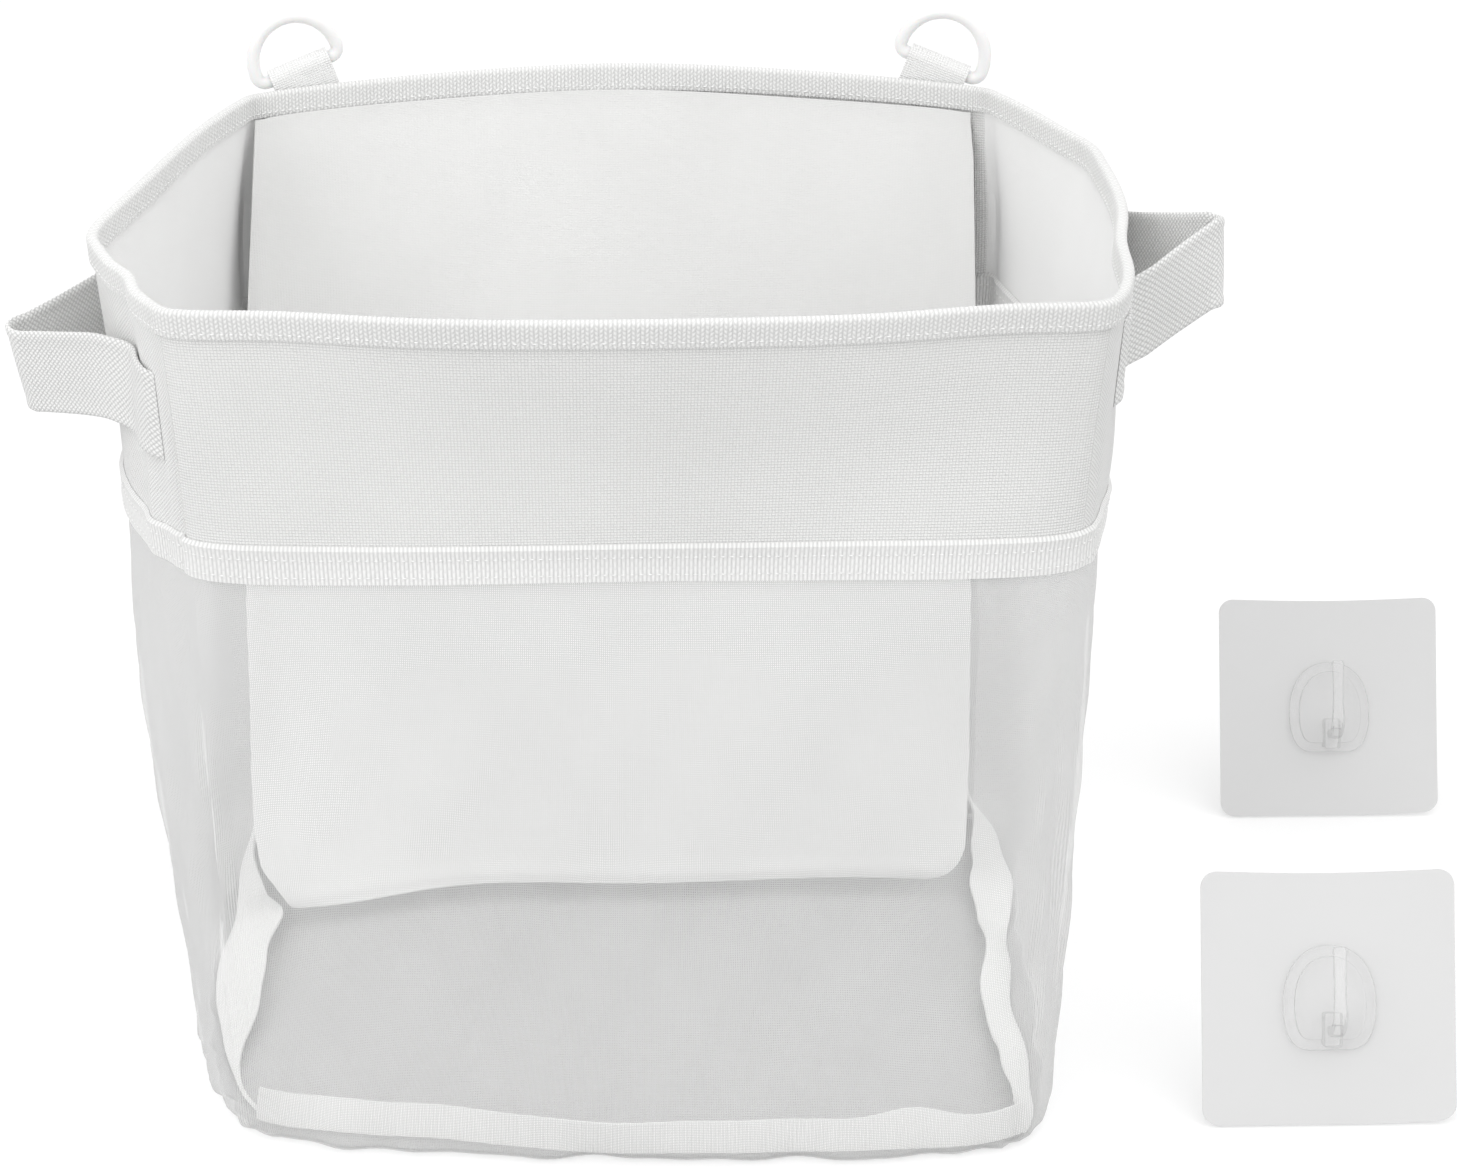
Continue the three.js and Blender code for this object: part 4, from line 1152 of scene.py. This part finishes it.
class ORGANIZER_OT_hooks(bpy.types.Operator):
    """Clear stick-on hooks: a thin sheet, a moulded boss and an upturned prong"""

    bl_idname = "organizer.hooks"
    bl_label = "Stick-on hooks"

    glue = 0.0003
    flange = 0.0014
    flange_edge = 0.0012
    disc_inset = 0.004
    disc = 0.0012
    disc_edge = 0.0008
    root_width = 0.0066
    root_height = 0.0125
    root_depth = 0.005
    prong_width = 0.005
    prong_thickness = 0.004
    prong_reach = 0.017
    prong_bend = 0.007
    prong_drop = 0.011
    prong_rise = 0.020

    def execute(self, context):
        fittings, finishes = context.scene.organizer_fittings, context.scene.organizer_finishes
        milky = clear_finish("hook sheet", finishes.clear, {
            "Roughness": 0.35, "Alpha": 0.90, "Specular IOR Level": 0.3})
        glassy = clear_finish("hook moulding", (1.0, 1.0, 1.0), {
            "Roughness": 0.06, "Alpha": 0.11, "Specular IOR Level": 0.5})
        # The boss's side faces get a darker, more opaque clear: painted dark outlines that stand for
        # refraction at the moulding's edges
        painted_refraction_edge = clear_finish("hook moulding edge", [0.75 * c for c in finishes.clear], {
            "Roughness": 0.10, "Alpha": 0.40, "Specular IOR Level": 0.5})
        for name in ("upper", "lower"):
            low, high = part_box(f"{name}_hook_sheet")
            seat = self.seat(MOUNTS[f"{name}_hook_back"])
            sheet = self.make_sheet(f"{name}_hook_clear_sheet", fittings, high[0] - low[0])
            sheet.data.transform(seat)
            finish(sheet, milky, "clear_sheet", f"{name}_hook_sheet")
            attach(sheet, f"{name}_hook")
            body = self.make_body(f"{name}_hook_moulding", fittings)
            finish(body, glassy, "clear_hook", f"{name}_hook_body")
            body.data.materials.append(painted_refraction_edge)
            for face in body.data.polygons:
                face.material_index = 1 if abs(face.normal.y) < 0.5 else 0
            body.data.transform(seat @ Matrix.Translation((0, -self.glue - fittings.sheet_thickness, 0)))
            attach(body, f"{name}_hook")
        return {"FINISHED"}

    def seat(self, mount):
        """The sheet's place: x to the right, y out of its back"""
        return axes_at(mount["pos_m"], Vector((1, 0, 0)), Vector(mount["axis"]).normalized())

    def make_sheet(self, name, fittings, size):
        """A square with round corners, its long edges drawn in a little and a corner curled forward"""
        piece = added_piece(
            name, bpy.ops.mesh.primitive_grid_add, x_subdivisions=64, y_subdivisions=64, size=size)
        half, radius = size / 2, fittings.sheet_corner
        inner = half - radius
        for vertex in piece.data.vertices:
            x, z = vertex.co.x, vertex.co.y
            a, b = (abs(x) - inner) / radius, (abs(z) - inner) / radius
            if a > 0 and b > 0:
                x = math.copysign(inner + radius * a * math.sqrt(1 - b * b / 2), x)
                z = math.copysign(inner + radius * b * math.sqrt(1 - a * a / 2), z)
            drawn = 0.0012 * math.cos(math.pi / 2 * x / half) * max(0, z / half) ** 2
            curl = max(0, (x - z) / size - 0.62)
            vertex.co = (x, -0.0004 - 0.008 * curl ** 2, z - drawn + 0.010 * curl ** 2)
        thicken(piece, fittings.sheet_thickness)
        return piece

    def egg(self, fittings, inset, count):
        """Half the boss's outline, from the middle of its flat foot up its right side to the top"""
        half, top = fittings.boss_width / 2 - inset, fittings.boss_height / 2 - inset
        foot, waist = 0.4 * half, -0.12 * top
        curves = (
            ((foot, -top), (0.86 * half, -top), (half, -0.62 * top), (half, waist)),
            ((half, waist), (half, 0.56 * top), (0.6 * half, top), (0, top)),
        )
        share = np.linspace(0, 1, count)[:, None]
        weights = ((1 - share) ** 3, 3 * share * (1 - share) ** 2, 3 * share ** 2 * (1 - share), share ** 3)
        right = np.concatenate([
            sum(w * np.array(p) for w, p in zip(weights, curve))[k:] for k, curve in enumerate(curves)])
        left = right[-2::-1] * (-1, 1)
        return np.concatenate((right, left))

    def make_body(self, name, fittings):
        """The boss is drawn as an outline and raised in steps; block and prong are joined on"""
        outline = self.egg(fittings, 0.0, 13)
        piece = added_piece(name, bpy.ops.mesh.primitive_circle_add, vertices=len(outline), fill_type="NGON")
        for vertex, (x, z) in zip(piece.data.vertices, outline):
            vertex.co = (x, 0, z)
        bpy.ops.object.mode_set(mode="EDIT")
        bpy.ops.mesh.select_all(action="SELECT")
        bpy.ops.mesh.extrude_region_move(TRANSFORM_OT_translate={"value": (0, -self.flange, 0)})
        bpy.ops.mesh.inset(thickness=self.flange_edge, depth=0.0)
        bpy.ops.mesh.inset(thickness=self.disc_inset - self.flange_edge, depth=0.0)
        bpy.ops.mesh.extrude_region_move(TRANSFORM_OT_translate={"value": (0, -self.disc, 0)})
        bpy.ops.mesh.inset(thickness=self.disc_edge, depth=0.0)
        bpy.ops.object.mode_set(mode="OBJECT")
        face_out(piece)
        apply_modifier(piece, "BEVEL", width=0.0004, segments=2, limit_method="ANGLE",
                       angle_limit=math.radians(50))
        for extra in (self.make_block(), self.make_prong()):
            apply_modifier(piece, "BOOLEAN", operation="UNION", object=extra, solver="EXACT")
            bpy.data.objects.remove(extra)
        return piece

    def make_block(self):
        """The prong's root"""
        depth = self.flange + self.disc + self.root_depth
        block = added_piece("block", bpy.ops.mesh.primitive_cube_add, size=1)
        size = Matrix.Diagonal((self.root_width, depth, self.root_height, 1))
        block.data.transform(Matrix.Translation((0, -depth / 2, -self.prong_drop)) @ size)
        apply_modifier(block, "BEVEL", width=0.0009, segments=3)
        return block

    def make_prong(self):
        """A flat bar that runs forward, bends up and ends in a slightly wider head"""
        bend, reach = self.prong_bend, self.prong_reach
        turn = np.linspace(-math.pi / 2, 0, 9)
        corner = np.stack((np.cos(turn), np.sin(turn)), -1) * bend + (reach - bend, bend - self.prong_drop)
        rise = [(reach, height) for height in (0.002, 0.010, 0.0165, 0.0185, self.prong_rise)]
        path = np.concatenate((((0.0010, -self.prong_drop),), corner, rise))
        ahead = np.gradient(path, axis=0)
        ahead /= np.linalg.norm(ahead, axis=1, keepdims=True)
        widths = np.concatenate((np.full(10, 1.0), (0.86, 0.86, 0.95, 1.0, 0.8)))
        ring = [(math.copysign(abs(c) ** 0.5, c), math.copysign(abs(s) ** 0.5, s))
                for c, s in ((math.cos(a), math.sin(a)) for a in np.linspace(0, 2 * math.pi, 17)[:-1])]
        points = np.empty((len(path), len(ring), 3))
        for k, (across, deep) in enumerate(ring):
            points[:, k, 0] = across * self.prong_width / 2 * widths
            points[:, k, 1] = -(path[:, 0] - deep * ahead[:, 1] * self.prong_thickness / 2)
            points[:, k, 2] = path[:, 1] + deep * ahead[:, 0] * self.prong_thickness / 2
        piece = grid_piece("prong", points, np.arange(17.0), np.arange(float(len(path))), closed=True)
        face_out(piece, fill=True)
        return piece


class ORGANIZER_OT_stage(bpy.types.Operator):
    """A pale floor, soft lamps and a camera"""

    bl_idname = "organizer.stage"
    bl_label = "Stage"

    frame_width = 1457
    focal_pixels = 3200
    middle_pixel = 617
    floor_lift = 0.36
    # The backdrop is dimmer through the mesh: painted shade of the bin
    sky_shade_through_mesh = 0.50
    # The floor's darker colour through the mesh is painted shade under the bin
    floor_shade_through_mesh = 0.74

    def execute(self, context):
        stage, finishes = context.scene.organizer_stage, context.scene.organizer_finishes
        context.scene.view_settings.view_transform = "Standard"
        self.make_floor(finishes)
        self.make_sky(context.scene, stage)
        self.lamp("key lamp", (-0.85, -1.0, 1.0), (0.0, -0.1, 0.2), 0.9, stage.key_power)
        self.lamp("fill lamp", (1.5, -0.3, 1.5), (0.0, 0.0, 0.2), 1.2, stage.fill_power)
        self.lamp("top lamp", (0.45, -0.25, 1.8), (0.0, 0.05, 0.1), 2.2, stage.top_power)
        self.make_camera(context.scene, stage)
        return {"FINISHED"}

    def seen(self, nodes):
        """1 for rays that show the background: from the camera, or by gloss or clear plastic"""
        path = nodes.add("ShaderNodeLightPath", {}).outputs
        by_plastic = nodes.math("MAXIMUM", path["Is Glossy Ray"], path["Is Transmission Ray"])
        return nodes.math("MAXIMUM", path["Is Camera Ray"], by_plastic)

    def by_depth(self, nodes, bare, through):
        """One strength for what is seen straight, and one for what is seen through the mesh"""
        depth = nodes.add("ShaderNodeLightPath", {}).outputs["Transparent Depth"]
        inputs = {"Value": depth, "To Min": bare, "To Max": through}
        return nodes.add("ShaderNodeMapRange", inputs).outputs[0]

    def make_floor(self, finishes):
        """A floor that looks white where it is seen straight, and darker through the mesh, where its darker
        colour is painted shade under the bin
        """
        floor = added_piece("floor", bpy.ops.mesh.primitive_plane_add, size=14, location=(0, 0, -0.0004))
        sketch = Sketch("pale floor", {
            "Roughness": 0.9, "Specular IOR Level": 0.1, "Emission Color": (1, 1, 1, 1)})
        seen = self.seen(sketch)
        glimpse = sketch.math("MULTIPLY", seen, self.by_depth(sketch, 0.0, 1.0))
        bare, through = (shade(finishes.floor, share) for share in (1.0, self.floor_shade_through_mesh))
        sketch.colour(sketch.mix(glimpse, bare, through))
        lift = sketch.math("MULTIPLY", seen, self.by_depth(sketch, self.floor_lift, 0.0))
        sketch.feed(sketch.shader.inputs["Emission Strength"], lift)
        floor.data.materials.append(sketch.material)

    def make_sky(self, scene, stage):
        """Even light from all round, which looks white by itself, and darker through the mesh, where the
        dimmer strength is painted shade
        """
        world = bpy.data.worlds.new("soft sky")
        world.use_nodes = True
        scene.world = world
        nodes = Nodes(world.node_tree)
        light = nodes.tree.nodes["Background"]
        nodes.feed(light.inputs["Color"], (1, 1, 1, 1))
        nodes.feed(light.inputs["Strength"], stage.sky)
        strength = self.by_depth(nodes, 1.0, self.sky_shade_through_mesh)
        white = nodes.add("ShaderNodeBackground", {"Color": (1, 1, 1, 1), "Strength": strength})
        inputs = {0: self.seen(nodes), 1: light.outputs[0], 2: white.outputs[0]}
        blend = nodes.add("ShaderNodeMixShader", inputs)
        nodes.feed(nodes.tree.nodes["World Output"].inputs["Surface"], blend.outputs[0])

    def lamp(self, name, place, target, size, power):
        aim = (Vector(target) - Vector(place)).to_track_quat("-Z", "Y")
        bpy.ops.object.light_add(type="AREA", location=place, rotation=aim.to_euler())
        lamp = bpy.context.object
        lamp.name = name
        lamp.data.size = size
        lamp.data.energy = power

    def make_camera(self, scene, stage):
        turn = (math.pi / 2 - stage.camera_pitch, 0, -stage.camera_yaw)
        bpy.ops.object.camera_add(location=stage.camera_place, rotation=turn)
        camera = bpy.context.object
        camera.data.sensor_width = 36.0
        camera.data.lens = camera.data.sensor_width * self.focal_pixels / self.frame_width
        camera.data.shift_x = 0.5 - self.middle_pixel / self.frame_width
        scene.camera = camera


class ORGANIZER_PT_panel(bpy.types.Panel):
    """The steps that build the organizer, in order"""

    bl_idname = "ORGANIZER_PT_panel"
    bl_label = "Bath Toy Organizer"
    bl_space_type = "VIEW_3D"
    bl_region_type = "UI"
    bl_category = "Organizer"

    def draw(self, context):
        for step in STEPS:
            self.layout.operator(step.bl_idname)
        for name in GROUPS:
            box = self.layout.box()
            settings = getattr(context.scene, name)
            for prop in settings.bl_rna.properties:
                if prop.identifier not in ("rna_type", "name"):
                    box.prop(settings, prop.identifier)


STEPS = (
    ORGANIZER_OT_stage,
    ORGANIZER_OT_bands,
    ORGANIZER_OT_mesh,
    ORGANIZER_OT_tapes,
    ORGANIZER_OT_floor_tapes,
    ORGANIZER_OT_back_panel,
    ORGANIZER_OT_handles,
    ORGANIZER_OT_rings,
    ORGANIZER_OT_hooks,
)
GROUPS = {
    "organizer_bin": BinSizes,
    "organizer_fittings": FittingSizes,
    "organizer_finishes": Finishes,
    "organizer_stage": StageSizes,
}


def register():
    for group in (*GROUPS.values(), *STEPS, ORGANIZER_PT_panel):
        bpy.utils.register_class(group)
    for name, group in GROUPS.items():
        setattr(bpy.types.Scene, name, PointerProperty(type=group))


def unregister():
    for name in GROUPS:
        delattr(bpy.types.Scene, name)
    for group in reversed((*GROUPS.values(), *STEPS, ORGANIZER_PT_panel)):
        bpy.utils.unregister_class(group)


def main():
    register()
    bpy.ops.organizer.stage()
    bpy.ops.organizer.bands()
    bpy.ops.organizer.mesh()
    bpy.ops.organizer.tapes()
    bpy.ops.organizer.floor_tapes()
    bpy.ops.organizer.back_panel()
    bpy.ops.organizer.handles()
    bpy.ops.organizer.rings()
    bpy.ops.organizer.hooks()


if __name__ == "__main__":
    main()
